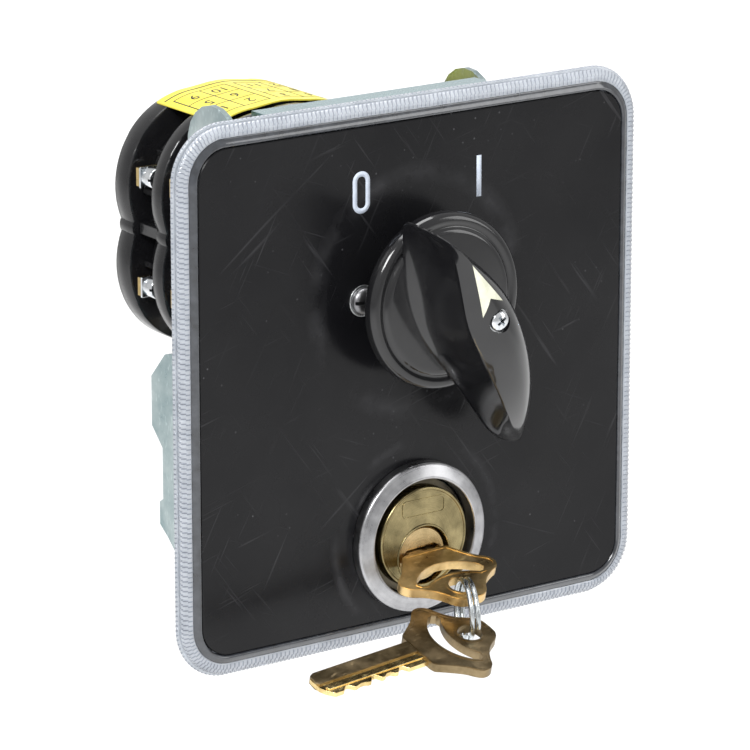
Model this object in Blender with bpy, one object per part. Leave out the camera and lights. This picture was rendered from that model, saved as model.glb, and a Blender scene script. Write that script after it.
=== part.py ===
"""Rotary isolator switch with a key lock.

Every length in this script is in millimetres and every angle in degrees; MM turns lengths into the
scene's metres when a node is made.  +X is right seen from the front, +Y points through the panel to the
rear and +Z is up.  Y = 0 is the plane where the cover's base frame seats on the panel.
"""

import math
from math import cos, pi, radians, sin, tan

import bmesh
import bpy
from mathutils import Matrix, Vector

MM = 0.001
GAP = 0.3  # clearance between pieces that touch in the real object

# Front plate
BEZEL_HALF = 64.0
BEZEL_RADIUS = 12.5
FACE_HALF = 59.0
FACE_RADIUS = 8.5
FACE_Y = -3.4  # front plane of the clear cover
COVER_BACK_Y = -1.2
BASE_FRONT_Y = -0.9
POCKET_HALF = 59.8
POCKET_Y = -2.3
SEAT_HALF = 54.0  # inner half side of the base frame

# Handle and switch axis
AXIS_Z = 18.6
REST_TILT = 30.0  # the pointer leans left by this much at 0
HANDLE_TRAVEL = 60.0
KNOB_RADIUS = 20.5
KNOB_BACK_Y = FACE_Y - 8.5
KNOB_RIM_H = 12.6  # height of the knob's disc above the face
SCREW_FLOOR_H = 30.7  # height of the floor of the knob screw's recess
BOSS_RADIUS = 8.5
BOSS_BACK_Y = FACE_Y - 0.6
SHAFT_HALF = 2.6
SHAFT_BORE_HALF = SHAFT_HALF + GAP
SHAFT_FRONT_Y = -24.0
SHAFT_REAR_Y = 77.0

# Lock
LOCK_Z = -39.35
LOCK_RING_RADIUS = 17.75
CYLINDER_RADIUS = 13.5
CYLINDER_FACE_RADIUS = 12.1
CYLINDER_REAR_Y = 24.0
PLUG_Z = -43.5
PLUG_RADIUS = 6.6
PLUG_FRONT_Y = FACE_Y - 2.3
PLUG_REAR_Y = 24.4
KEY_TILT = 2.5  # the key blade's slope in the plug at rest
KEY_DROOP = 16.7  # how far the bow of the key in the lock is bent down from its blade

# Switch body
BODY_Z = 21.2
LOBE_X = 7.4
LOBE_Z = 9.4
LOBE_RADIUS = 21.2
CROWN = 0.8
BUMP_X = 24.2
BUMP_RADIUS = 3.2
CORE_INSET = 6.5
BEARING_BLOCK_Y = (33.0, 44.6)
BLOCK_STARTS = (44.9, 59.4)
BLOCK_LENGTH = 14.2
RIM_LENGTH = 4.4
END_COVER_Y = (73.9, 80.0)
DETENT_Y = (4.0, 20.0)
CAVITY_HALF_X = 17.0
CAVITY_HALF_Z = 16.4
TERMINAL_LEVEL = 13.3  # height of each terminal row above and below BODY_Z
ROD_X = 6.5
ROD_Z = 20.3
ROD_RADIUS = 1.5
LOCK_DISC_RADIUS = 16.8

# Steel frame
SHEET = 1.5
WEB_Y = 0.4
WEB_HALF_X = 34.2
PLATE_X = 34.6  # inner face of each side plate
FLANGE_REAR_Y = 17.0
FLANGE_TOP_Z = 60.6
FRAME_BOTTOM_Z = -57.0

# Keys
KEY_THICKNESS = 2.0
BLADE_LENGTH = 28.0
BLADE_HALF = 4.1
HOLE_ALONG = 15.0
HOLE_RADIUS = 2.9
RING_RADIUS = 7.0
WIRE_RADIUS = 0.6


# ---------------------------------------------------------------- helpers

def clear_scene():
    for old in list(bpy.data.objects):
        bpy.data.objects.remove(old, do_unlink=True)


def make_material(name, colour, roughness, metallic=0.0, alpha=1.0):
    material = bpy.data.materials.new(name)
    material.use_nodes = True
    shader = material.node_tree.nodes["Principled BSDF"]
    shader.inputs["Base Color"].default_value = (*colour, 1.0)
    shader.inputs["Roughness"].default_value = roughness
    shader.inputs["Metallic"].default_value = metallic
    shader.inputs["Alpha"].default_value = alpha
    return material


FINISHES = {
    "clear": ((0.80, 0.82, 0.88), 0.15, 0.0, 0.45),
    "black_sheet": ((0.030, 0.031, 0.033), 0.35, 0.0, 1.0),
    "bakelite": ((0.012, 0.012, 0.013), 0.22, 0.0, 1.0),
    "knob": ((0.010, 0.010, 0.011), 0.12, 0.0, 1.0),
    "ivory": ((0.72, 0.72, 0.55), 0.45, 0.0, 1.0),
    "zinc": ((0.62, 0.68, 0.66), 0.28, 1.0, 1.0),
    "steel": ((0.60, 0.61, 0.62), 0.30, 1.0, 1.0),
    "brass": ((0.70, 0.52, 0.22), 0.25, 1.0, 1.0),
    "old_brass": ((0.42, 0.31, 0.14), 0.35, 1.0, 1.0),
    "yellow": ((0.80, 0.70, 0.08), 0.45, 0.0, 1.0),
}


def add_node(name, bm, finish, pivot=(0.0, 0.0, 0.0)):
    """One named object from a bmesh in millimetres, with its origin at pivot."""
    bmesh.ops.recalc_face_normals(bm, faces=bm.faces)
    bmesh.ops.translate(bm, verts=bm.verts, vec=-Vector(pivot))
    bmesh.ops.scale(bm, verts=bm.verts, vec=(MM, MM, MM))
    mesh = bpy.data.meshes.new(name)
    bm.to_mesh(mesh)
    bm.free()
    mesh.shade_smooth()
    mesh.set_sharp_from_angle(angle=radians(35))
    mesh.materials.append(make_material(name, *FINISHES[finish]))
    node = bpy.data.objects.new(name, mesh)
    node.location = Vector(pivot) * MM
    bpy.context.collection.objects.link(node)
    return node


def add_cutter(name, bm):
    cutter = add_node(name, bm, "steel")
    cutter.hide_render = True
    cutter.display_type = "WIRE"
    return cutter


def combine(node, other, operation):
    """Cut or join another object by an exact Boolean, and hide that object."""
    other.hide_render = True
    other.display_type = "WIRE"
    modifier = node.modifiers.new(other.name, "BOOLEAN")
    modifier.object = other
    modifier.operation = operation
    modifier.solver = "EXACT"


def arc(centre, radius, start, end, steps):
    """Points (x, z) on an arc, ends included."""
    angles = [radians(start + (end - start) * i / steps) for i in range(steps + 1)]
    return [(centre[0] + radius * cos(a), centre[1] + radius * sin(a)) for a in angles]


def circle(centre, radius, segments):
    return arc(centre, radius, 0.0, 360.0, segments)[:-1]


def rectangle(centre, half_x, half_z):
    signs = ((-1, -1), (1, -1), (1, 1), (-1, 1))
    return [(centre[0] + sign_x * half_x, centre[1] + sign_z * half_z) for sign_x, sign_z in signs]


def rounded_square(half, radius, steps=4):
    points = []
    for turn in range(4):
        sign_x = (1, -1, -1, 1)[turn]
        sign_z = (1, 1, -1, -1)[turn]
        corner = (sign_x * (half - radius), sign_z * (half - radius))
        points += arc(corner, radius, 90.0 * turn, 90.0 * (turn + 1), steps)
    return points


def layered(layers, holes=()):
    """A closed solid through (y, outline) layers of equal point counts, with straight through holes."""
    bm = bmesh.new()
    loops = [[bm.verts.new((x, y, z)) for x, z in outline] for y, outline in layers]
    for lower, upper in zip(loops, loops[1:]):
        bridge(bm, lower, upper)
    ends = [list(loops[0]), list(loops[-1])]
    caps = [loop_edges(bm, ends[0]), loop_edges(bm, ends[1])]
    for hole in holes:
        pair = [[bm.verts.new((x, y, z)) for x, z in hole] for y in (layers[0][0], layers[-1][0])]
        bridge(bm, pair[0], pair[1])
        for cap, loop in zip(caps, pair):
            cap += loop_edges(bm, loop)
    for cap in caps:
        bmesh.ops.triangle_fill(bm, use_beauty=True, use_dissolve=False, edges=cap)
    return bm


def bridge(bm, lower, upper):
    count = len(lower)
    for i in range(count):
        j = (i + 1) % count
        corners = list(dict.fromkeys([lower[i], lower[j], upper[j], upper[i]]))
        if len(corners) > 2:
            bm.faces.new(corners)


def loop_edges(bm, loop):
    edges = []
    for first, second in zip(loop, loop[1:] + loop[:1]):
        edges.append(bm.edges.get((first, second)) or bm.edges.new((first, second)))
    return edges


def prism(outline, y_front, y_back, holes=()):
    return layered([(y_front, outline), (y_back, outline)], holes)


def turned(profile, centre, segments, closed=False):
    """Turn (radius, y) points about the Y axis through centre (x, z)."""
    bm = bmesh.new()
    rings = []
    for radius, y in profile:
        if radius == 0:
            rings.append([bm.verts.new((centre[0], y, centre[1]))] * segments)
        else:
            rings.append([bm.verts.new((x, y, z)) for x, z in circle(centre, radius, segments)])
    pairs = list(zip(rings, rings[1:]))
    if closed:
        pairs.append((rings[-1], rings[0]))
    for lower, upper in pairs:
        bridge(bm, lower, upper)
    return bm


def box(x_range, y_range, z_range):
    bm = bmesh.new()
    centre = [(low + high) / 2 for low, high in (x_range, y_range, z_range)]
    size = [high - low for low, high in (x_range, y_range, z_range)]
    place = Matrix.Translation(centre) @ Matrix.Diagonal((*size, 1.0))
    bmesh.ops.create_cube(bm, size=1.0, matrix=place)
    return bm


def tube_along(points, radius, sides):
    """A closed round bar along a list of points, with parallel-carried cross-sections."""
    bm = bmesh.new()
    rings = []
    side = Vector((0.0, 0.0, 1.0))
    for index, point in enumerate(points):
        ahead = points[min(index + 1, len(points) - 1)]
        behind = points[max(index - 1, 0)]
        tangent = (ahead - behind).normalized()
        if index == 0 and abs(tangent.dot(side)) > 0.9:
            side = Vector((1.0, 0.0, 0.0))
        side = (side - side.dot(tangent) * tangent).normalized()
        other = tangent.cross(side)
        angles = [2 * pi * k / sides for k in range(sides)]
        rings.append([bm.verts.new(point + radius * (cos(a) * side + sin(a) * other)) for a in angles])
    for lower, upper in zip(rings, rings[1:]):
        bridge(bm, lower, upper)
    bm.faces.new(list(reversed(rings[0])))
    bm.faces.new(rings[-1])
    return bm


# ---------------------------------------------------------------- front plate

PANEL_SCREW_X = 15.0
SHAFT_HOLE_RADIUS = 8.0


def front_holes(lock_radius):
    holes = [circle((0.0, AXIS_Z), SHAFT_HOLE_RADIUS, 20), circle((0.0, LOCK_Z), lock_radius, 32)]
    return holes + [circle((side * PANEL_SCREW_X, AXIS_Z), 2.1, 10) for side in (-1, 1)]


def build_front_plate():
    layers = [
        (FACE_Y, rounded_square(FACE_HALF, FACE_RADIUS)),
        (FACE_Y + 0.5, rounded_square(FACE_HALF + 1.0, FACE_RADIUS + 1.0)),
        (FACE_Y + 0.7, rounded_square(FACE_HALF + 2.2, FACE_RADIUS + 2.2)),
        (FACE_Y + 1.7, rounded_square(FACE_HALF + 4.4, FACE_RADIUS + 3.4)),
        (COVER_BACK_Y, rounded_square(FACE_HALF + 4.4, FACE_RADIUS + 3.4)),
    ]
    cover = add_node("clear_cover", layered(layers, front_holes(CYLINDER_RADIUS + GAP)), "clear")
    pocket = prism(rounded_square(POCKET_HALF, FACE_RADIUS), POCKET_Y, COVER_BACK_Y + 1.0)
    combine(cover, add_cutter("cover_pocket", pocket), "DIFFERENCE")
    face = rounded_square(POCKET_HALF - GAP, FACE_RADIUS)
    sheet = prism(face, POCKET_Y + GAP, BASE_FRONT_Y - GAP, front_holes(CYLINDER_RADIUS + GAP))
    add_node("face_sheet", sheet, "black_sheet")
    base_layers = [
        (BASE_FRONT_Y, rounded_square(BEZEL_HALF, BEZEL_RADIUS)),
        (0.0, rounded_square(BEZEL_HALF, BEZEL_RADIUS)),
    ]
    add_node("base_frame", layered(base_layers, [rounded_square(SEAT_HALF, 6.0)]), "clear")
    for side, word in ((-1, "left"), (1, "right")):
        centre = (side * PANEL_SCREW_X, AXIS_Z)
        head = [(0.0, FACE_Y - 2.3), (1.8, FACE_Y - 1.9), (3.0, FACE_Y - GAP)]
        shank = [(1.6, FACE_Y - GAP), (1.6, WEB_Y - GAP), (0.0, WEB_Y - GAP)]
        screw = turned(head + shank, centre, 14)
        add_node("panel_screw_" + word, screw, "steel", (centre[0], 0.0, centre[1]))


# ---------------------------------------------------------------- steel frame

def rod_holes():
    return [circle((side * ROD_X, BODY_Z - side * ROD_Z), ROD_RADIUS + GAP, 8) for side in (-1, 1)]


def side_outline():
    """The side plate seen from the side, as (y, z): ears at the top, stepped rear edge at the lock."""
    front = [(WEB_Y, -52.0), (WEB_Y, 50.0), (14.0, 52.0)]
    ear = arc((25.4, 50.5), 10.3, 160.0, 10.0, 8)
    rear = [(35.7, 12.0), (35.7, 1.0), (46.5, -2.0), (52.5, -8.5), (52.5, -20.5), (48.0, -25.0)]
    foot = [(48.0, -37.5), (49.5, -38.5), (49.5, -44.0), (46.0, -46.5), (40.0, -52.0)]
    return front + ear + rear + foot


def build_steel_frame():
    half_height = (FLANGE_TOP_Z - FRAME_BOTTOM_Z) / 2
    web = rectangle((0.0, (FLANGE_TOP_Z + FRAME_BOTTOM_Z) / 2), WEB_HALF_X, half_height)
    holes = [circle((0.0, AXIS_Z), 10.0, 20), circle((0.0, LOCK_Z), CYLINDER_RADIUS + GAP, 32)]
    holes += rod_holes()
    frame = add_node("mounting_frame", prism(web, WEB_Y, WEB_Y + SHEET, holes), "zinc")
    top = box((-31.0, 31.0), (WEB_Y + 0.1, FLANGE_REAR_Y), (FLANGE_TOP_Z - SHEET, FLANGE_TOP_Z))
    combine(frame, add_cutter("top_flange", top), "UNION")
    bottom = box((-31.0, 31.0), (WEB_Y + 0.1, 44.0), (FRAME_BOTTOM_Z, FRAME_BOTTOM_Z + SHEET))
    combine(frame, add_cutter("bottom_flange", bottom), "UNION")
    for side, word in ((-1, "left"), (1, "right")):
        plate = prism(side_outline(), 0.0, SHEET)
        turn = Matrix(((0, side, 0, side * PLATE_X), (1, 0, 0, 0), (0, 0, 1, 0), (0, 0, 0, 1)))
        bmesh.ops.transform(plate, matrix=turn, verts=plate.verts)
        add_node("side_plate_" + word, plate, "zinc")


# ---------------------------------------------------------------- switch body

def lobe_angles():
    """Where each lobe's arc meets the side bump, as angles on the lobe and on the bump."""
    gap_x = BUMP_X - LOBE_X
    distance = math.hypot(gap_x, LOBE_Z)
    along = (LOBE_RADIUS ** 2 - BUMP_RADIUS ** 2 + distance ** 2) / (2 * distance)
    height = math.sqrt(LOBE_RADIUS ** 2 - along ** 2)
    unit = (gap_x / distance, -LOBE_Z / distance)
    meet = (LOBE_X + along * unit[0] + height * -unit[1], LOBE_Z + along * unit[1] + height * unit[0])
    on_lobe = math.degrees(math.atan2(meet[1] - LOBE_Z, meet[0] - LOBE_X))
    on_bump = math.degrees(math.atan2(meet[1], meet[0] - BUMP_X))
    return on_lobe, on_bump


def body_outline(inset=0.0):
    """The lobed outline of the switch body, symmetric in X and about BODY_Z."""
    on_lobe, on_bump = lobe_angles()
    quarter = arc((BUMP_X, 0.0), BUMP_RADIUS - inset * 0.3, 0.0, on_bump, 2)[:-1]
    quarter += arc((LOBE_X, LOBE_Z), LOBE_RADIUS - inset, on_lobe, 88.0, 8)
    quarter += [(0.0, LOBE_Z + LOBE_RADIUS + CROWN - inset)]
    quarter = [(x - inset * 0.75 if x > BUMP_X else x, z) for x, z in quarter]
    top = quarter + [(-x, z) for x, z in reversed(quarter[:-1])]
    outline = top + [(x, -z) for x, z in reversed(top[1:-1])]
    return [(x, z + BODY_Z) for x, z in outline]


def build_switch_body():
    rods = rod_holes()
    cavity = rectangle((0.0, BODY_Z), CAVITY_HALF_X, CAVITY_HALF_Z)
    bearing = circle((0.0, AXIS_Z), SHAFT_HALF * 1.5, 16)
    add_node("bearing_block", prism(body_outline(), *BEARING_BLOCK_Y, rods + [bearing]), "bakelite")
    for start, name in zip(BLOCK_STARTS, ("contact_block_front", "contact_block_rear")):
        layers = [
            (start, body_outline()),
            (start + RIM_LENGTH, body_outline()),
            (start + RIM_LENGTH, body_outline(CORE_INSET)),
            (start + BLOCK_LENGTH, body_outline(CORE_INSET)),
        ]
        block = add_node(name, layered(layers, rods + [cavity]), "bakelite")
        for level in (-1, 1):
            z = BODY_Z + level * TERMINAL_LEVEL
            slot = box((-40.0, 40.0), (start + 5.2, start + 12.0), (z - 2.6, z + 2.6))
            combine(block, add_cutter(f"{name}_slot_{level + 1}", slot), "DIFFERENCE")
    outline = body_outline()
    front, rear = END_COVER_Y
    end = layered([(front, outline), (rear - 1.0, outline), (rear, body_outline(1.0))], rods + [bearing])
    add_node("end_cover", end, "bakelite")
    housing = circle((0.0, AXIS_Z), 27.0, 32)
    wheel_room = circle((0.0, AXIS_Z), 16.8, 24)
    body = add_node("detent_housing", prism(housing, *DETENT_Y, rods + [bearing]), "bakelite")
    room = prism(wheel_room, DETENT_Y[0] + 3.0, DETENT_Y[1] + 1.0)
    combine(body, add_cutter("detent_room", room), "DIFFERENCE")
    nut = rear + GAP
    profile = [(0.0, WEB_Y - 0.4), (ROD_RADIUS, WEB_Y - 0.4), (ROD_RADIUS, nut)]
    profile += [(3.0, nut), (3.0, nut + 1.6), (2.2, nut + 2.4), (0.0, nut + 2.4)]
    for side, word in ((-1, "upper"), (1, "lower")):
        add_node("tie_rod_" + word, turned(profile, (side * ROD_X, BODY_Z - side * ROD_Z), 10), "steel")


def build_label():
    """A thin sticker bent over the top of the body, from lobe to lobe."""
    lowest = BODY_Z + LOBE_Z + 17.0
    outline = [(x, z) for x, z in body_outline(-0.7) if z > lowest]
    inner = [(x, z) for x, z in body_outline(-0.35) if z > lowest]
    strip = outline + list(reversed(inner))
    add_node("rating_label", prism(strip, BLOCK_STARTS[0] + 6.0, END_COVER_Y[1] - 1.5), "yellow")


# ---------------------------------------------------------------- contacts

BRIDGE_TRAVEL = 2.0  # how far a bridge moves over the handle's 60 degrees
CAM_LARGE = 7.8


def contact_positions():
    """(number, section, x side, z level) of the eight fixed terminals."""
    places = []
    for section in (0, 1):
        for level in (1, -1):
            for side in (-1, 1):
                places.append((len(places) + 1, section, side, level))
    return places


def build_contacts():
    for number, section, side, level in contact_positions():
        y = BLOCK_STARTS[section] + 8.3
        z = BODY_Z + level * TERMINAL_LEVEL
        strip = [(8.4, y - 1.2), (10.3, y - 1.2), (10.3, y + 2.2)]
        strip += [(27.8, y + 2.2), (27.8, y + 3.4), (8.4, y + 3.4)]
        terminal = prism([(side * x, depth) for x, depth in strip], -z - 2.2, -z + 2.2)
        lift = Matrix(((1, 0, 0, 0), (0, 0, 1, 0), (0, -1, 0, 0), (0, 0, 0, 1)))
        bmesh.ops.transform(terminal, matrix=lift, verts=terminal.verts)
        add_node(f"terminal_{number}", terminal, "brass")
        head = [(0.0, y - 2.4), (2.0, y - 2.1), (2.5, y - 1.2), (2.5, y + 1.9), (0.0, y + 1.9)]
        add_node(f"terminal_screw_{number}", turned(head, (side * 25.2, z), 12), "steel")


def cam_outline(phase):
    """A cam whose radius falls evenly over the handle's travel, then returns."""
    points = []
    for step in range(24):
        angle = step * 15.0
        local = (angle - phase) % 180.0
        if local <= HANDLE_TRAVEL:
            radius = CAM_LARGE - BRIDGE_TRAVEL * local / HANDLE_TRAVEL
        else:
            radius = CAM_LARGE - BRIDGE_TRAVEL * (180.0 - local) / (180.0 - HANDLE_TRAVEL)
        points.append((radius * cos(radians(angle)), AXIS_Z + radius * sin(radians(angle))))
    return points


def build_shaft_train():
    bore = rectangle((0.0, AXIS_Z), SHAFT_BORE_HALF, SHAFT_BORE_HALF)
    shaft = rectangle((0.0, AXIS_Z), SHAFT_HALF, SHAFT_HALF)
    pivot = (0.0, 0.0, AXIS_Z)
    add_node("shaft", prism(shaft, SHAFT_FRONT_Y, SHAFT_REAR_Y), "steel", pivot)
    for start, name in zip(BLOCK_STARTS, ("cam_front", "cam_rear")):
        add_node(name, prism(cam_outline(0.0), start + 5.2, start + 11.4, [bore]), "ivory", pivot)
    star = []
    for step in range(24):
        radius = 8.4 if step % 4 == 0 else 9.5
        star.append((radius * cos(radians(15.0 * step)), AXIS_Z + radius * sin(radians(15.0 * step))))
    add_node("detent_wheel", prism(star, 9.5, 15.5, [bore]), "steel", pivot)
    disc = notched_disc(LOCK_DISC_RADIUS, 3.6, 6.6, (270.0, 330.0))
    add_node("lock_disc", prism(disc, 25.0, 28.0, [bore]), "steel", pivot)


def notched_disc(radius, half_notch, depth, notch_angles):
    points = []
    half_angle = math.degrees(math.asin(half_notch / radius))
    spans = []
    for index, angle in enumerate(notch_angles):
        following = notch_angles[(index + 1) % len(notch_angles)]
        following += 360.0 if following <= angle else 0.0
        spans.append((angle, angle + half_angle, following - half_angle))
    for angle, start, end in spans:
        for side in (-half_notch, half_notch):
            radial = (cos(radians(angle)), sin(radians(angle)))
            across = (-radial[1], radial[0])
            x, z = ((radius - depth) * radial[i] + side * across[i] for i in (0, 1))
            points.append((x, AXIS_Z + z))
        steps = max(2, int((end - start) / 15.0))
        points += arc((0.0, AXIS_Z), radius, start, end, steps)
    return points


def build_bridges():
    """Four moving bridges, one each side of each cam, with their return springs."""
    number = 0
    for section in (0, 1):
        y = BLOCK_STARTS[section] + 8.3
        for side in (-1, 1):
            number += 1
            near = CAM_LARGE + 0.4
            low = BODY_Z - TERMINAL_LEVEL - 2.0
            high = BODY_Z + TERMINAL_LEVEL + 2.0
            tee = [(near, AXIS_Z - 1.4), (12.6, AXIS_Z - 1.4), (12.6, low), (13.8, low)]
            tee += [(13.8, high), (12.6, high), (12.6, AXIS_Z + 1.4), (near, AXIS_Z + 1.4)]
            outline = [(side * x, z) for x, z in tee]
            add_node(f"contact_bridge_{number}", prism(outline, y - 1.2, y + 1.6), "brass")
            points = []
            for step in range(25):
                angle = 2 * pi * step / 8.0
                x = side * (14.3 + 2.2 * step / 24.0)
                points.append(Vector((x, y + 1.1 * cos(angle), AXIS_Z + 1.1 * sin(angle))))
            add_node(f"bridge_spring_{number}", tube_along(points, 0.16, 5), "steel")


def build_detent_springs():
    for side, word in ((-1, "left"), (1, "right")):
        x = side * 11.4
        leaf = [(0.0, -8.0), (2.2, -8.0), (2.2, 8.5), (1.4, 8.5), (1.4, 1.3)]
        leaf += [(-1.6, 0.0), (1.4, -1.3), (1.4, -7.2), (0.0, -7.2)]
        spring = [(x + side * out, AXIS_Z + up) for out, up in leaf]
        add_node("detent_spring_" + word, prism(spring, 10.0, 15.0), "steel")


# ---------------------------------------------------------------- knob

BLADE_FRONT_H = 32.8  # greatest height of the handle above the face
BLADE_STATIONS = (
    # along, crown height, edge height, edge half width, base half width, base height
    (22.9, 17.4, 14.6, 0.3, 0.6, 10.8),
    (21.8, 24.4, 20.6, 0.5, 1.6, 10.8),
    (20.2, 29.8, 25.2, 0.7, 2.6, 10.8),
    (18.0, 31.8, 27.8, 1.2, 4.0, 11.8),
    (12.0, 32.6, 28.9, 3.3, 7.2, 11.8),
    (6.0, BLADE_FRONT_H, 28.3, 5.1, 9.6, 11.8),
    (0.0, BLADE_FRONT_H, 27.9, 6.2, 11.0, 11.8),
    (-6.0, 32.2, 27.7, 6.2, 10.6, 11.8),
    (-12.0, 30.6, 26.6, 5.7, 9.4, 11.6),
    (-18.0, 28.2, 24.8, 5.1, 8.2, 11.0),
    (-24.0, 25.0, 22.3, 4.3, 7.0, 9.4),
    (-30.0, 21.2, 19.2, 3.3, 6.2, 8.8),
    (-34.0, 18.3, 16.8, 2.4, 5.6, 9.0),
    (-37.0, 15.6, 14.6, 1.5, 4.5, 9.6),
    (-39.6, 13.0, 12.4, 0.6, 2.4, 10.2),
)


def blade_section(crown, edge, half_edge, half_base, base):
    """A cross-section as (across, height): crowned front, sharp edges and concave cheeks."""
    rise = edge - base
    spread = half_base - half_edge
    half = [
        (half_base, base),
        (half_edge + spread * 0.45, base + rise * 0.25),
        (half_edge + spread * 0.12, base + rise * 0.6),
        (half_edge, edge),
        (half_edge * 0.6, crown - (crown - edge) * 0.3),
    ]
    return half + [(0.0, crown)] + [(-across, height) for across, height in reversed(half)]


def build_knob():
    bm = bmesh.new()
    loops = []
    tilt = radians(REST_TILT)
    for along, *section in BLADE_STATIONS:
        loop = []
        for across, height in blade_section(*section):
            x = -along * sin(tilt) + across * cos(tilt)
            z = AXIS_Z + along * cos(tilt) + across * sin(tilt)
            loop.append(bm.verts.new((x, FACE_Y - height, z)))
        loops.append(loop)
    for lower, upper in zip(loops, loops[1:]):
        bridge(bm, lower, upper)
    bm.faces.new(loops[0])
    bm.faces.new(loops[-1])
    bmesh.ops.recalc_face_normals(bm, faces=bm.faces)
    blade = add_cutter("knob_blade", bm)
    rim = FACE_Y - KNOB_RIM_H
    profile = [
        (0.0, rim), (16.8, rim), (17.4, rim + 0.5), (18.4, rim + 0.5), (19.2, rim + 1.0), (20.0, rim + 1.2),
        (KNOB_RADIUS, rim + 1.8), (KNOB_RADIUS, KNOB_BACK_Y), (BOSS_RADIUS, KNOB_BACK_Y),
        (BOSS_RADIUS, BOSS_BACK_Y), (0.0, BOSS_BACK_Y),
    ]
    knob = add_node("knob", turned(profile, (0.0, AXIS_Z), 40), "knob", (0.0, 0.0, AXIS_Z))
    combine(knob, blade, "UNION")
    across_bore = (-SHAFT_BORE_HALF, SHAFT_BORE_HALF)
    bore = box(across_bore, (SHAFT_FRONT_Y - GAP, 0.0), (AXIS_Z - SHAFT_BORE_HALF, AXIS_Z + SHAFT_BORE_HALF))
    combine(knob, add_cutter("knob_bore", bore), "DIFFERENCE")
    floor = FACE_Y - SCREW_FLOOR_H
    recess = [(0.0, floor - 9.0), (2.9, floor - 9.0), (2.9, floor), (0.0, floor)]
    combine(knob, add_cutter("screw_recess", turned(recess, (0.0, AXIS_Z), 16)), "DIFFERENCE")
    head = [(0.0, floor - 2.1), (1.6, floor - 1.9), (2.3, floor - 1.2)]
    head += [(2.3, floor - GAP), (0.0, floor - GAP)]
    add_node("knob_screw", turned(head, (0.0, AXIS_Z), 16), "steel", (0.0, 0.0, AXIS_Z))
    arrow = [(-3.1, 3.3), (0.0, 16.0), (3.1, 3.3), (0.0, 6.7)]
    flat = [(-a * sin(tilt) + w * cos(tilt), AXIS_Z + a * cos(tilt) + w * sin(tilt)) for w, a in arrow]
    front = FACE_Y - BLADE_FRONT_H
    add_node("knob_arrow", prism(flat, front - GAP - 0.4, front - GAP), "ivory", (0.0, 0.0, AXIS_Z))


# ---------------------------------------------------------------- lock

def keyway(grow):
    """The key blade's cross-section in the plug, as (x, z)."""
    tilt = radians(KEY_TILT)
    half_width = BLADE_HALF + grow
    half_height = KEY_THICKNESS / 2 + grow
    corners = ((-1, -1), (1, -1), (1, 1), (-1, 1))
    points = []
    for sign_w, sign_t in corners:
        w = sign_w * half_width
        t = sign_t * half_height
        points.append((w * cos(tilt) - t * sin(tilt), PLUG_Z + w * sin(tilt) + t * cos(tilt)))
    return points


def build_lock():
    ring = [
        (14.0, FACE_Y - 3.7), (14.5, FACE_Y - 3.7), (17.5, FACE_Y - 2.8), (LOCK_RING_RADIUS, FACE_Y - 2.4),
        (LOCK_RING_RADIUS, FACE_Y - GAP), (14.0, FACE_Y - GAP),
    ]
    add_node("lock_ring", turned(ring, (0.0, LOCK_Z), 40, closed=True), "steel")
    bore = circle((0.0, PLUG_Z), PLUG_RADIUS + GAP, 28)
    face = circle((0.0, LOCK_Z), CYLINDER_FACE_RADIUS, 36)
    flank = circle((0.0, LOCK_Z), CYLINDER_RADIUS, 36)
    steps = [(FACE_Y - 3.2, face), (FACE_Y - 1.2, face), (FACE_Y - 1.1, flank), (CYLINDER_REAR_Y, flank)]
    body = layered(steps, [bore])
    add_node("lock_cylinder", body, "brass")
    pivot = (0.0, 0.0, PLUG_Z)
    plug = prism(circle((0.0, PLUG_Z), PLUG_RADIUS, 28), PLUG_FRONT_Y, PLUG_REAR_Y, [keyway(0.35)])
    add_node("lock_plug", plug, "brass", pivot)
    cam = [(-3.0, PLUG_Z - 3.0), (10.0, PLUG_Z - 2.0), (10.0, PLUG_Z + 2.0), (-3.0, PLUG_Z + 3.0)]
    add_node("lock_cam", prism(cam, 25.0, 27.6), "steel", pivot)
    thread = circle((0.0, LOCK_Z), CYLINDER_RADIUS + GAP, 24)
    add_node("lock_nut", prism(circle((0.0, LOCK_Z), 17.5, 6), 3.0, 7.0, [thread]), "zinc")
    guide = box((-PLATE_X + GAP, PLATE_X - GAP), (23.5, 29.5), (-22.0, -18.0))
    guide = add_node("bolt_guide", guide, "zinc")
    combine(guide, add_cutter("guide_slot", box((-3.3, 3.3), (24.9, 28.1), (-23.0, -17.0))), "DIFFERENCE")
    bolt_top = AXIS_Z - LOCK_DISC_RADIUS - 1.0
    add_node("locking_bolt", box((-3.0, 3.0), (25.2, 27.8), (PLUG_Z + 6.9, bolt_top)), "steel")


# ---------------------------------------------------------------- keys

def key_outline():
    """Key outline as (along, across): along runs from the tip (negative) to the end of the bow."""
    tip = [(-BLADE_LENGTH, 1.2), (-BLADE_LENGTH + 2.4, BLADE_HALF)]
    cuts = []
    for index, depth in enumerate((1.2, 0.4, 1.6, 0.8, 1.4)):
        along = -BLADE_LENGTH + 4.5 + index * 3.8
        floor = BLADE_HALF - depth
        cuts += [(along, BLADE_HALF), (along + 1.2, floor), (along + 2.0, floor), (along + 3.0, BLADE_HALF)]
    lower = [
        (-0.1, BLADE_HALF), (0.3, 6.0), (1.8, 7.2), (6.0, 10.2), (7.8, 12.2), (9.6, 13.1), (11.4, 12.4),
        (12.9, 10.4), (14.4, 8.0), (16.6, 5.6), (18.8, 3.8), (20.0, 1.8), (20.3, 0.7),
    ]
    upper = [(along, -across) for along, across in reversed(lower)]
    back = [(-BLADE_LENGTH + 1.0, -BLADE_HALF), (-BLADE_LENGTH, -2.6)]
    return tip + cuts + lower + upper + back


def crescent_slot():
    """The curved slot in the bow as (along, across)."""
    outer = arc((17.7, 0.0), 11.9, 131.6, 228.4, 8)
    inner = arc((23.5, 0.0), 13.5, 213.2, 146.8, 8)
    return outer + inner


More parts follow.
